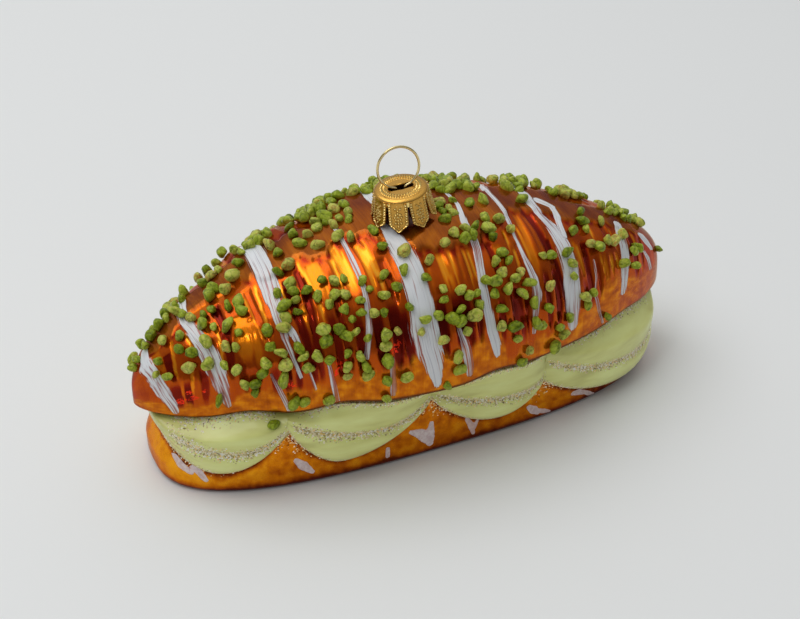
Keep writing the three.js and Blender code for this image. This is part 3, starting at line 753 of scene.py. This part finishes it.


# The far side's strokes and painted glints are the near side's, turned half round. Its strokes
# start beyond the crest, this many degrees from the near lip.
far_start = 122
x_of = np.concatenate([np.tile(x_grid[0], len(under_lip)), x_grid.ravel()])
around_of = whole(around_grid)
near_marks = stroke_marks(x_of, around_of)
far_marks = stroke_marks(-x_of, 180 - around_of)
past_crest = far_marks[0] - np.maximum(0, far_start - around_of) * 0.5
cover, across, down, body = (
    np.where(past_crest > near_marks[0], far, near)
    for far, near in zip((past_crest, *far_marks[1:]), near_marks))
cover[: len(under_lip) * len(along)] = off_stroke
note(crust, "tone", whole(tone))
note(crust, "crown", whole(crown))
note(crust, "band", whole(band, 1))
# Dark brown along the lip and all under it: partly the lacquer's own line, partly painted shade
# in the seam over the filling.
note(crust, "lip_line", whole(1 - smooth(0.3, 2.2, up_grid), 1))
note(crust, "ember", painted_glint_marks(x_of, around_of) + painted_glint_marks(-x_of, 180 - around_of))
note(crust, "stroke", cover)
note(crust, "stroke_body", body)
note(crust, "stroke_run", points_of(across, down, 0))
note(crust, "wrap", points_of(x_of, around_of * ARC, 0))

board = Board("brown and amber lacquer over silvered glass")
streak = board.noise(board.place("wrap", (2.6, 0.16, 1)), 4, rough=0.65)
patch = board.noise(board.place("wrap", (0.22, 0.12, 1)))
fine = board.noise(board.place("wrap", (6.0, 0.3, 1)))
cloudy = board.noise(board.place("wrap", (0.42, 0.5, 1)))
crown_part = board.read("crown")
band_part = board.read("band")
# The flank's lacquer, its painted highlights and painted notch shadows, coloured by one ramp.
flank = (board.read("tone") + (streak - 0.5) * 0.3 + (patch - 0.5) * 0.6) * 0.5 + 0.5
flank_colour = board.ramp(
    flank, (0.04, 104, 6, 1), (0.26, 144, 28, 2), (0.46, 192, 80, 5), (0.66, 222, 112, 8),
    (0.84, 236, 136, 18), (0.97, 246, 162, 40))
band_colour = board.ramp(
    streak * 0.25 + cloudy * 0.75, (0.34, 166, 76, 4), (0.5, 204, 106, 6), (0.66, 236, 144, 16))
crown_colour = board.ramp(
    patch * 0.7 + streak * 0.3, (0.32, 114, 50, 10), (0.5, 158, 80, 16), (0.68, 202, 116, 26))
colour = board.mix(band_part, flank_colour, band_colour)
colour = board.mix(crown_part, colour, crown_colour)
# The lip's dark line: partly its own paint, partly painted shade in the seam under it.
colour = board.mix(board.read("lip_line").above(0.6, 0.95), colour, tint(118, 62, 14))
# Painted glints: bright red cells where a painted glint is noted.
glint = board.channel(board.grains(board.place("wrap", (2.4, 2.4, 1)), 1.5), "Blue")
colour = board.mix((board.read("ember") - glint).above(0.25, 0.35), colour, tint(255, 54, 24))

bristle = board.noise(board.place("stroke_run", (2.6, 0.07, 1)))
broad = board.noise(board.place("stroke_run", (0.9, 0.16, 1)))
hair = board.noise(board.place("stroke_run", (5.5, 0.05, 1))).above(0.26, 0.44)
stroke = (board.read("stroke") + (bristle - 0.5) + (broad - 0.5) * 0.5).above(0.0, 0.16)
thick = board.read("stroke_body") + (bristle - 0.5) * 3.2 + (broad - 0.5) * 0.5
opaque = thick.above(-0.05, 0.7)
white = board.mix(opaque, tint(132, 112, 128),
                  board.mix(hair, tint(178, 180, 194), tint(230, 234, 238)))
stroke_amount = stroke * (0.3 + opaque * 0.68)

relief = board.bump(patch, 0.15, 1.2)
relief = board.bump(cloudy * band_part, 0.15, 0.8, relief)
relief = board.bump(streak, 0.05, 0.4, relief)
relief = board.bump(fine, 0.03, 0.3, relief)
relief = board.bump(stroke * (0.5 + bristle * 0.6), 0.8, 0.2, relief)
board.paint(
    crust,
    Base_Color=board.mix(stroke_amount, colour, white),
    Metallic=(1 - stroke_amount) * (0.72 - crown_part * 0.05 - band_part * 0.05),
    Roughness=0.16 + stroke * 0.25 - crown_part * 0.04,
    Specular_Tint=tint(205, 150, 60), Coat_Weight=0.12, Coat_Roughness=0.05, Normal=relief,
)
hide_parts("crust_top")
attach(crust, "root")


# ---------------------------------------------------------------------------------------------
# Neck: the short open stub that the glass was blown through. Its dark red is partly the glass,
# partly painted shade where it shows between the leaves of the cap.
# ---------------------------------------------------------------------------------------------

crown_at = dict(x=-3.5, y=-3.2, top=56.1, lean=5.9, towards=176)
cap = dict(radius=5.6, plate=0.5, collar=1.9, sheet=0.35, sunk=0.2)
neck = dict(radius=4.5, bore=3.5, bore_depth=5, root=4, flare=0.6, flare_drop=3.5, edge=0.4)

lean_axis = Vector((-math.sin(math.radians(crown_at["towards"])),
                    math.cos(math.radians(crown_at["towards"])), 0))
crown_frame = Matrix.Translation(Vector((crown_at["x"], crown_at["y"], crown_at["top"]))) @ (
    Matrix.Rotation(math.radians(crown_at["lean"]), 4, lean_axis))


def on_crown(points):
    """Points given from the middle of the cap's top plate, as points of the ornament."""
    tilt = np.array(crown_frame.to_3x3())
    return np.asarray(points) @ tilt.T + np.array(crown_frame.translation)


def turned(radius, angle, z):
    """Points a radius away from the cap's axis."""
    return points_of(radius * np.cos(angle), radius * np.sin(angle), z)


mouth = -cap["plate"] - gap
root = crown_at["top"] - dome["rise"] - lip["height"] - mouth + neck["root"]
neck_profile = [
    (0.05, mouth - root), (neck["radius"] + neck["flare"], mouth - root),
    (neck["radius"] + 0.1, mouth - neck["flare_drop"]), (neck["radius"], mouth - 2),
    (neck["radius"], mouth - neck["edge"]), (neck["radius"] - 0.12, mouth - 0.12),
    (neck["radius"] - neck["edge"], mouth), (neck["bore"], mouth),
    (neck["bore"], mouth - neck["bore_depth"]), (0.05, mouth - neck["bore_depth"]),
]
angle = np.linspace(0, 2 * math.pi, 96, endpoint=False)
glass_neck = skin(
    "glass_neck", [on_crown(turned(r, angle, z)) for r, z in neck_profile], crease=40)
# Dark red: partly the glass, partly painted shade inside the cap.
board = Board("dark red glass in painted shade")
smoke = board.noise(board.node("ShaderNodeTexCoord", output="Object"), scale=900)
board.paint(
    glass_neck,
    Base_Color=board.mix(smoke.above(0.3, 0.7), tint(58, 8, 6), tint(96, 22, 10)),
    Metallic=0.2, Roughness=0.25, Coat_Weight=0.2, Coat_Roughness=0.1,
)
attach(glass_neck, "root")


# ---------------------------------------------------------------------------------------------
# Chopped pistachio: green-coated grit of two to three millimetres, glued on by the handful
# over the crown and strewn down the flanks.
# ---------------------------------------------------------------------------------------------

dice = np.random.default_rng(417)
granule = dict(radius=1.04, apart=1.9, closest=1.7, sink=0.25, shapes=30, widest=27)
nugget = dict(planes=10, core=0.8, wear=14, cracks=3, crack_half=0.09, crack_depth=0.07,
              stretch=(1.24, 1.0, 0.84))
bare = dict(tip=61.3, below_cap=4.5, by_neck=7.5)       # where the grit stops
fallen = dict(x=-38.8, fold=1.72, facing=(-0.2, -0.95, 0.2))        # a loose one on the filling

# Where the grit lies on the near side: (x, degrees from the near lip), and how many together
# where it isn't one.
near_grit = [
    (-58, 48), (-57, 63), (-56, 41), (-55, 83), (-53, 62), (-52, 75), (-52, 42), (-51, 53),
    (-50, 91), (-49, 84), (-48, 56), (-48.5, 40), (-48, 11), (-47.5, 72), (-46, 66), (-46, 35),
    (-45, 47), (-43.3, 45), (-45, 80, 2), (-45, 75), (-43, 90, 3), (-43.5, 62), (-43.5, 56),
    (-42, 54), (-42, 76), (-40, 75), (-40, 68), (-38.5, 92), (-36.5, 97), (-44, 29), (-43, 18),
    (-41, 18), (-41.5, 12), (-39.5, 24), (-38.5, 30), (-37, 39), (-35.5, 34), (-35, 27),
    (-36, 19), (-37, 49), (-33, 69), (-32.5, 60), (-33, 53), (-34, 48), (-30.5, 54), (-32, 34),
    (-31.5, 29), (-31, 22), (-34.5, 6), (-32.5, 5), (-28, 3), (-31, 81), (-28.5, 82), (-29, 91),
    (-29.5, 98), (-30, 71), (-30, 66), (-30, 61), (-27.5, 63), (-27, 40), (-27, 33), (-29, 27),
    (-27, 23), (-26, 58), (-24.5, 52), (-24, 66), (-23, 56), (-22, 63), (-22, 47), (-24, 38),
    (-23, 33), (-23.5, 24), (-24, 18), (-24, 13), (-24, 104), (-23, 94, 2), (-24.5, 90),
    (-21.5, 86), (-20, 63), (-21, 54), (-20.5, 47), (-21, 41), (-21, 34), (-21, 22),
    (-20.5, 15, 2), (-19, 43), (-17, 41), (-17.5, 51, 2), (-17, 58), (-19, 30), (-17, 86),
    (-15, 83), (-13.5, 83), (-17.5, 93), (-18.5, 99, 2), (-14, 95), (-14, 101), (-12, 100),
    (-14, 48), (-15, 40), (-12.5, 58), (-11, 50), (-10.5, 72), (-10.5, 81), (-9.8, 88),
    (-15.7, 30), (-16, 25), (-13, 30), (-9.5, 39), (-16, 18), (-16.5, 9), (-12.7, 9),
    (-16.5, 1.5), (-7, 65), (-8.5, 57), (-5, 50), (-7.5, 32), (-8.5, 27), (-4.5, 32), (-4.5, 21),
    (-3.5, 71), (-3, 58), (-2, 43), (-2.3, 38), (-1.5, 29), (0.4, 32), (0, 27), (1, 22),
    (-1.5, 12), (-0.6, 6), (-3.8, 1.5), (1.2, 40), (2.5, 42), (2.6, 37), (2.8, 28), (4.6, 37),
    (4.3, 32), (1.8, 64), (2, 75), (3.8, 74), (5.6, 76), (4.3, 68), (5.8, 64), (7, 70), (8.2, 66),
    (8, 80), (3.5, 85), (6, 88), (9, 88), (9.8, 71), (7.7, 42), (8.6, 35), (9.4, 41), (9.5, 27),
    (8.8, 19), (10.8, 50), (11.4, 44), (11.7, 36), (11.8, 18), (12.5, 12), (13, 54), (13.7, 50),
    (14, 40), (15, 32), (13.2, 75), (12.5, 68), (12.5, 63), (16, 73), (17.5, 67), (12, 85),
    (15.8, 87), (16, 43), (17.2, 37), (17.7, 27), (18, 16, 2), (15.6, 5), (13.8, 1.5), (22.3, 49),
    (24.4, 49), (22, 33), (21, 22), (23.7, 11), (22.2, 3), (24.7, 7), (26.6, 14), (29, 49),
    (29.5, 42), (29.2, 35), (25, 87), (31.2, 22), (31.8, 17), (33.7, 22), (32.7, 62), (36.5, 53),
    (38, 50), (36.8, 70), (37, 64), (38, 78), (41.3, 54), (43.5, 53), (42.5, 71), (47, 59),
    (44.5, 34), (48, 31), (48.8, 43), (50.5, 46), (60.6, 48), (38.2, 5),
]
# The drifts over the crown, as stretches of it: from x to x, from degrees to degrees, how many.
crown_drifts = [
    (-60, -56, 96, 108, 7), (-52, -47, 98, 108, 5), (-42, -40, 104, 112, 2),
    (-34, -29, 104, 116, 9), (-22, -11, 110, 120, 17), (-19, -14, 92, 99, 7),
    (-10, 0, 110, 119, 11), (2, 6, 79, 87, 4), (7, 17, 96, 110, 15), (24, 33, 96, 111, 14),
    (37, 43, 92, 107, 9), (46, 53, 82, 97, 9), (54, 58, 79, 92, 4), (-50, 52, 136, 150, 24),
]


def on_dome(x, around):
    """A point of the dome and the way straight out from it."""
    step_along, step_up, middle_height = 0.3, 0.6, 20
    at, beside, above = dome_surface(
        np.array([x, x + step_along, x]), np.array([around, around, around + step_up]))
    away = np.cross(above - at, beside - at)
    away /= np.linalg.norm(away)
    if away[2] < -0.2 or away @ (at - (x, 0, middle_height)) < 0:
        away = -away
    return at, away


def lay_grit():
    """Places for all the grit: the drifts first, then the near side, then the far side, which
    has the near side's grit turned half round."""
    places, tries = [], 60
    cap_axis = np.array(crown_frame.to_3x3().col[2])
    under_cap = np.array(crown_frame.translation) - bare["below_cap"] * cap_axis

    def lay(x, around, apart):
        if abs(x) > bare["tip"]:
            return False
        at, away = on_dome(x, around)
        off = at - under_cap
        if np.linalg.norm(off - (off @ cap_axis) * cap_axis) < bare["by_neck"]:
            return False
        taken = np.array([other for other, _ in places]).reshape(-1, 3)
        if (np.linalg.norm(taken - at, axis=1) < apart).any():
            return False
        places.append((at, away))
        return True

    def clump(x, around, number=1):
        if number == 1:
            lay(x, around, granule["closest"])
            return
        reach = 0.95 * math.sqrt(number)
        left = number
        for _ in range(tries):
            turn_at, out = dice.uniform(0, 2 * math.pi), reach * math.sqrt(dice.uniform(0, 1))
            left -= lay(x + 1.5 * out * math.cos(turn_at),
                        around + out * math.sin(turn_at) / ARC, granule["apart"])
            if left == 0:
                return

    for start, end, lowest, highest, number in crown_drifts:
        laid = len(places)
        for _ in range(tries):
            if len(places) - laid < number:
                clump(dice.uniform(start, end), dice.uniform(lowest, highest), 3)
    for x, around, *number in near_grit:
        clump(x, around, *number)
    for x, around, *number in near_grit:
        if around < 62:
            clump(-x + dice.uniform(-0.6, 0.6), 180 - around + dice.uniform(-1, 1), *number)
    x, y, z = cheek_ring(fallen["fold"]).T
    nearest = np.argmin(np.where(y > 0, np.inf, np.abs(x - fallen["x"])))
    places.append((np.array([x[nearest], y[nearest], z[nearest]]), np.array(fallen["facing"])))
    return places


def chopped(number):
    """A few nuggets to draw from: lumps with flat broken faces, worn corners and cracks."""
    ball = bmesh.new()
    bmesh.ops.create_icosphere(ball, subdivisions=3, radius=1)
    ball.verts.ensure_lookup_table()
    ways = np.array([v.co for v in ball.verts])
    ways /= np.linalg.norm(ways, axis=1)[:, None]
    triangles = np.array([[v.index for v in f.verts] for f in ball.faces])
    ball.free()
    shapes = []
    for _ in range(number):
        planes = dice.normal(size=(nugget["planes"], 3))
        planes /= np.linalg.norm(planes, axis=1)[:, None]
        facing = np.maximum(0, ways @ planes.T) / dice.uniform(0.74, 1.12, nugget["planes"])
        wear = nugget["wear"]
        size = (np.sum(facing**wear, axis=1) + nugget["core"] ** wear) ** (-1 / wear)
        crack = np.zeros(len(ways))
        for _ in range(nugget["cracks"]):
            across_it = dice.normal(size=3)
            across_it /= np.linalg.norm(across_it)
            off = ways @ across_it - dice.uniform(-0.5, 0.5)
            off = off + 0.12 * np.sin(7 * ways @ dice.normal(size=3))
            crack = np.maximum(crack, bell(off, nugget["crack_half"]))
        lump = ways * (np.minimum(size, 1.25) * (1 - nugget["crack_depth"] * crack))[:, None]
        shapes.append((lump * nugget["stretch"] * dice.uniform(0.92, 1.08, 3), crack))
    return shapes, triangles


def turned_at_random():
    q = dice.normal(size=4)
    w, x, y, z = q / np.linalg.norm(q)
    return np.array([
        [1 - 2 * (y * y + z * z), 2 * (x * y - z * w), 2 * (x * z + y * w)],
        [2 * (x * y + z * w), 1 - 2 * (x * x + z * z), 2 * (y * z - x * w)],
        [2 * (x * z - y * w), 2 * (y * z + x * w), 1 - 2 * (x * x + y * y)],
    ])


shapes, triangles = chopped(granule["shapes"])
points, faces, tones, cracks, own = [], [], [], [], []
for number, (at, away) in enumerate(lay_grit()):
    lump, crack = shapes[dice.integers(len(shapes))]
    radius = granule["radius"] * dice.choice([0.82, 0.95, 1.0, 1.06, 1.18])
    tumble = turned_at_random()
    middle = at + away * (radius - granule["sink"])
    middle[1] = np.clip(middle[1], -granule["widest"], granule["widest"])
    points.append(lump @ tumble.T * radius + middle)
    faces.append(triangles + number * len(lump))
    tones.append(np.full(len(lump), dice.beta(2.2, 2.0)))
    cracks.append(crack)
    own.append(lump + dice.uniform(0, 90, 3))
grit = mesh_piece(
    "chopped_pistachio", np.concatenate(points) * MM, np.concatenate(faces).tolist(), 180)
note(grit, "green", np.concatenate(tones))
note(grit, "crack", np.concatenate(cracks))
note(grit, "lie", np.concatenate(own))

board = Board("green sugar-coated grit")
mottle = board.noise(board.place("lie"), 3, 1.7, 0.6)
green = board.read("green") * 0.6 + mottle * 0.8 - 0.2
green_colour = board.ramp(
    green, (0.08, 76, 92, 12), (0.28, 130, 148, 28), (0.5, 168, 184, 56), (0.72, 202, 202, 96),
    (0.88, 190, 144, 64))
crumble = board.noise(board.place("lie"), 3, 4.5, 0.6)
seam = board.node(
    "ShaderNodeTexVoronoi", {"feature": "DISTANCE_TO_EDGE"},
    {"Vector": board.place("lie"), "Scale": 0.55}).above(0.0, 0.07)
# Painted shade darkens the cracks and the seams between the broken faces.
crack_shade = (1 - seam) * 0.4 + board.read("crack") * 0.6
relief = board.bump(crumble, 0.4, 0.25)
relief = board.bump(seam, 0.25, 0.25, relief)
board.paint(
    grit,
    Base_Color=board.mix(crack_shade * 0.8, green_colour, tint(44, 62, 8)),
    Roughness=0.34, Specular_IOR_Level=0.4, Specular_Tint=tint(220, 230, 120),
    Coat_Weight=0.15, Coat_Roughness=0.2, Normal=relief,
)
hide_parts("crust_top")
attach(grit, "root")


# ---------------------------------------------------------------------------------------------
# Cap: thin brass, stamped with a ring of beads and a ring of ribs round its slot. Its eight
# pointed leaves grip the neck, each with a beaded border and a flower in its middle.
# ---------------------------------------------------------------------------------------------

leaf = dict(count=8, width=4.05, length=4.1, tip=1.4, over=0.6, tip_width=0.5, flare=1.1,
            first=-122, nip=0.12, nip_length=0.8)
slot = dict(length=5.6, width=2, turn=8, rim=2.3, blend=3.0, blend_over=0.7)
beads = dict(radius=4.0, half=0.28, height=0.3, count=48)
ribs = dict(radius=3.35, half=0.26, height=0.26, count=36)
edge_beads = dict(drop=1.45, half=0.22, height=0.09, count=38)
shoulder = dict(start=4.3, fall=0.6)
border = dict(inset=0.32, half=0.24, height=0.3, pitch=0.56)
flower = dict(height=0.36, middle=2.35, half_width=0.66, half_length=0.72)


def slot_reach(angle):
    """How far the slot's outline is from the middle of the plate."""
    straight = slot["length"] / 2 - slot["width"] / 2
    c, s = np.abs(np.cos(angle)), np.abs(np.sin(angle))
    flat = slot["width"] / 2 / np.maximum(s, 1e-6)
    end = straight * c + np.sqrt(np.maximum(0, (slot["width"] / 2) ** 2 - (straight * s) ** 2))
    return np.where(flat * c < straight, flat, end)


turns = 288
angle = np.linspace(0, 2 * math.pi, turns, endpoint=False)
slot_outline = slot_reach(angle + math.radians(slot["turn"]))
raised_on = []          # how far each point stands out of the plain sheet


def pips(kind, off, power=2):
    """A row of beads or ribs round the cap, off by so much from its middle."""
    each = np.cos(kind["count"] * angle) * 0.5 + 0.5
    return kind["height"] * each * np.exp(-((off / kind["half"]) ** power))


def plate_ring(radius, z):
    """A ring of the cap's top. Near the slot it takes the slot's outline step by step."""
    blend = np.clip((slot["blend"] - radius) / slot["blend_over"], 0, 1)
    raised = pips(beads, radius - beads["radius"], 4) + pips(ribs, radius - ribs["radius"], 4)
    raised_on.append(raised / beads["height"])
    return turned(slot_outline * blend + radius * (1 - blend), angle, z + raised - cap["sunk"])


def collar_ring(radius, z):
    raised_on.append(np.full(turns, 0.8))
    return turned(radius + pips(edge_beads, z + edge_beads["drop"]), angle, z)


fall = cap["radius"] - shoulder["start"]
cap_rings = [
    plate_ring(slot["rim"], -cap["plate"]), plate_ring(slot["rim"], -0.12), plate_ring(2.38, 0),
    *[plate_ring(r, 0) for r in np.arange(2.5, cap["radius"] - 1.35, 0.05)],
    *[plate_ring(shoulder["start"] + fall * math.sin(a), -shoulder["fall"] * (1 - math.cos(a)))
      for a in np.linspace(0, math.pi / 2, 16)],
    *[collar_ring(cap["radius"], z) for z in np.arange(-0.9, -cap["collar"], -0.12)],
    collar_ring(cap["radius"] - 0.05, -cap["collar"]),
    collar_ring(cap["radius"] - cap["sheet"], -cap["collar"]),
    collar_ring(cap["radius"] - cap["sheet"], -1.2),
    collar_ring(cap["radius"] - 1.0, -cap["plate"]),
]
points = [np.concatenate(cap_rings)]
faces = bands(len(cap_rings), turns, closed=True)[:, [0, 3, 2, 1]].tolist()
count = len(points[0])


def leaf_faces(turn_at):
    """One leaf: an embossed outer face, a smooth inner one, and the cut edge between them. Its
    dots are (across, down, size): the flower, and what lies over and under it."""
    columns, rows = 41, 61
    u, v = np.meshgrid(np.linspace(-1, 1, columns), np.linspace(0, 1, rows))
    straight = leaf["length"] + leaf["over"]
    down = v * (straight + leaf["tip"])
    narrow = np.clip((down - straight) / leaf["tip"], 0, 1)
    half = (leaf["width"] / 2) * (1 - narrow) + (leaf["tip_width"] / 2) * narrow
    half = half - leaf["nip"] * np.maximum(0, 1 - down / leaf["nip_length"])
    across_leaf = u * half
    wave = np.cos(down * (1 + 0.35 * narrow) * 2 * math.pi / border["pitch"])
    emboss = border["height"] * (0.5 + 0.5 * wave) * bell(
        (1 - np.abs(u)) * half - border["inset"], border["half"])
    middle = flower["middle"]
    dots = [(0, middle, 0.2)]
    dots += [(flower["half_width"] * math.cos(a), middle + flower["half_length"] * math.sin(a),
              0.17) for a in np.linspace(0, 2 * math.pi, 8, endpoint=False)]
    dots += [(0, 1.05, 0.18), (-0.5, 0.62, 0.16), (0.5, 0.62, 0.16), (0, 3.65, 0.18),
             (-0.55, 3.62, 0.15), (0.55, 3.62, 0.15), (0, 4.3, 0.18)]
    for x, y, size in dots:
        emboss = emboss + flower["height"] * bell(
            np.hypot(across_leaf - x, down - leaf["over"] - y), size)
    radius = cap["radius"] + 0.02 + leaf["flare"] * v**1.3
    a = turn_at + across_leaf / radius
    z = -cap["collar"] + 0.5 + leaf["over"] - down
    outer, inner = turned(radius + emboss, a, z), turned(radius - cap["sheet"], a, z)
    grid = np.arange(rows * columns).reshape(rows, columns)
    far = grid + rows * columns
    quads = [np.stack([g[:-1, :-1], g[1:, :-1], g[1:, 1:], g[:-1, 1:]], -1).reshape(-1, 4)
             for g in (grid, far)]
    loop = np.concatenate([grid[:, 0], grid[-1, 1:], grid[-2::-1, -1], grid[0, -2:0:-1]])
    ahead = np.roll(loop, -1)
    sides = np.stack([ahead, loop, loop + rows * columns, ahead + rows * columns], 1)
    raised_on.extend([np.minimum(emboss / border["height"], 1).ravel(), np.zeros(emboss.size)])
    return (np.concatenate([outer.reshape(-1, 3), inner.reshape(-1, 3)]),
            np.concatenate([quads[0], quads[1][:, ::-1], sides]))


for number in range(leaf["count"]):
    leaf_points, made = leaf_faces(math.radians(leaf["first"] + number * 360 / leaf["count"]))
    faces += (made + count).tolist()
    points.append(leaf_points)
    count += len(leaf_points)
stamped = np.concatenate(points)
metal_cap = mesh_piece("stamped_cap", on_crown(stamped) * MM, faces, 40)
note(metal_cap, "lie", stamped)
note(metal_cap, "raised", np.concatenate(raised_on))

board = Board("stamped brass")
tarnish = board.noise(board.place("lie", (0.5, 0.5, 0.5)), 4, rough=0.6)
grain = board.noise(board.place("lie", (6, 6, 6)))
# Painted highlight on the raised beads, ribs, borders, flowers and collar; painted shade on the
# sunk ground between them.
raised_painted_highlight = board.read("raised").above(0.0, 0.7)
brass = board.ramp(
    tarnish, (0.3, 240, 196, 104), (0.5, 252, 218, 130), (0.72, 255, 234, 164))
board.paint(
    metal_cap,
    Base_Color=board.mix(raised_painted_highlight, tint(208, 158, 74), brass),
    Metallic=1.0, Roughness=0.27 + (grain - 0.5) * 0.2 - raised_painted_highlight * 0.08,
    Normal=board.bump(grain, 0.15, 0.1),
)
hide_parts("cap")
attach(metal_cap, "root")


# ---------------------------------------------------------------------------------------------
# Wire ring: one length of springy brass wire. Its two ends go in through the slot and spread
# inside the neck, which keeps the cap on.
# ---------------------------------------------------------------------------------------------

ring = dict(wire=0.27, width=4.35, height=4.75, centre=4.3, mouth=0.9, mouth_drop=0.6, leg=4.4,
            splay=2.4, open_half=28, sides=16)

legs = [(-ring["splay"], -ring["leg"]), (-1.75, -2.6), (-ring["mouth"], -ring["mouth_drop"])]
open_half = ring["open_half"]
round_eye = [(ring["width"] * math.cos(a), ring["centre"] + ring["height"] * math.sin(a))
             for a in np.radians(np.linspace(-90 - open_half, -450 + open_half, 33))]
knots = np.array(legs + round_eye + [(-x, z) for x, z in legs[::-1]])


def rounded_line(knots, between=5):
    """A smooth line through the knots."""
    padded = np.concatenate([[2 * knots[0] - knots[1]], knots, [2 * knots[-1] - knots[-2]]])
    line = []
    for a, b, c, d in zip(padded, padded[1:], padded[2:], padded[3:]):
        for t in np.arange(between) / between:
            line.append(0.5 * (2 * b + (c - a) * t + (2 * a - 5 * b + 4 * c - d) * t**2
                               + (3 * b - a - 3 * c + d) * t**3))
    return np.array([*line, knots[-1]])


line = rounded_line(knots)
centre = points_of(line[:, 0], 0, line[:, 1])
along_wire = np.gradient(centre, axis=0)
along_wire /= np.linalg.norm(along_wire, axis=1)[:, None]
sideways = np.tile([0.0, 1.0, 0.0], (len(centre), 1))
outwards = np.cross(along_wire, sideways)
turn_by = np.array(Matrix.Rotation(-math.radians(slot["turn"]), 3, "Z"))
tube = np.stack([
    centre + ring["wire"] * (math.cos(a) * outwards + math.sin(a) * sideways)
    for a in np.linspace(0, 2 * math.pi, ring["sides"], endpoint=False)], 1)
cut_ends = [centre[end, None] + 0.02 * (tube[end] - centre[end, None]) for end in (0, -1)]
tube = np.stack([cut_ends[0], *tube, cut_ends[1]])
first = np.arange(ring["sides"])
faces = bands(len(tube), ring["sides"]).tolist()
faces += [first[::-1].tolist(), (first + (len(tube) - 1) * ring["sides"]).tolist()]
wire_ring = mesh_piece(
    "wire_ring", on_crown(tube.reshape(-1, 3) @ turn_by.T) * MM, faces, 50)
note(wire_ring, "lie", tube.reshape(-1, 3))

board = Board("brass wire")
drawn = board.noise(board.place("lie", (2, 2, 2)), 3)
board.paint(
    wire_ring,
    Base_Color=board.mix(drawn, tint(214, 190, 128), tint(240, 222, 168)),
    Metallic=1.0, Roughness=0.16 + drawn * 0.12,
)
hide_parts("hanger")
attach(wire_ring, "root")


# ---------------------------------------------------------------------------------------------
# Studio: a plain pale floor, a large soft light high on the left and a little behind, and a
# small one in front on the left. The room is bright overhead and behind, dim along its walls.
# ---------------------------------------------------------------------------------------------

floor = mesh_piece("floor", [(-4, -4, 0), (4, -4, 0), (4, 4, 0), (-4, 4, 0)], [[0, 1, 2, 3]])
board = Board("pale paper")
paper = board.noise(board.node("ShaderNodeTexCoord", output="Object"), scale=3)
board.paint(
    floor, Base_Color=board.mix(paper, tint(236, 237, 236), tint(240, 241, 240)),
    Roughness=0.9)


def light(name, azimuth, elevation, away, size, power):
    """A rectangular soft light that faces the ornament."""
    lamp = bpy.data.lights.new(name, "AREA")
    lamp.shape = "RECTANGLE"
    lamp.size, lamp.size_y = size
    lamp.energy = power
    holder = bpy.data.objects.new(name, lamp)
    bpy.context.scene.collection.objects.link(holder)
    az, el = math.radians(azimuth), math.radians(elevation)
    towards = Vector((math.sin(az) * math.cos(el), -math.cos(az) * math.cos(el), math.sin(el)))
    holder.matrix_world = Matrix.Translation(towards * away + Vector((0, 0, 0.02))) @ (
        towards.to_track_quat("Z", "Y").to_matrix().to_4x4())


light("window", -124, 65, 0.85, (0.8, 0.6), 2.5)
light("side", -60, 45, 1.0, (0.12, 0.1), 0.38)

board = Board("room", bpy.data.worlds)
facing = board.node("ShaderNodeTexCoord", output="Generated")
overhead = board.node("ShaderNodeVectorMath", {"operation": "DOT_PRODUCT"},
                      {0: facing, 1: (0.0, 0.38, 0.925)}, "Value")
greys = [(0.0, 0.2), (0.5, 0.36), (0.8, 0.68), (1.0, 1.1)]
sky = board.node("ShaderNodeValToRGB", {
    "stops": [(at, (grey * 0.97, grey * 0.985, grey, 1)) for at, grey in greys]}, {0: overhead})
glow = board.node("ShaderNodeBackground", None, {"Color": sky, "Strength": 0.96})
board.node("ShaderNodeOutputWorld", None, {"Surface": glow})
bpy.context.scene.world = board.owner
bpy.context.scene.view_settings.view_transform = "Standard"
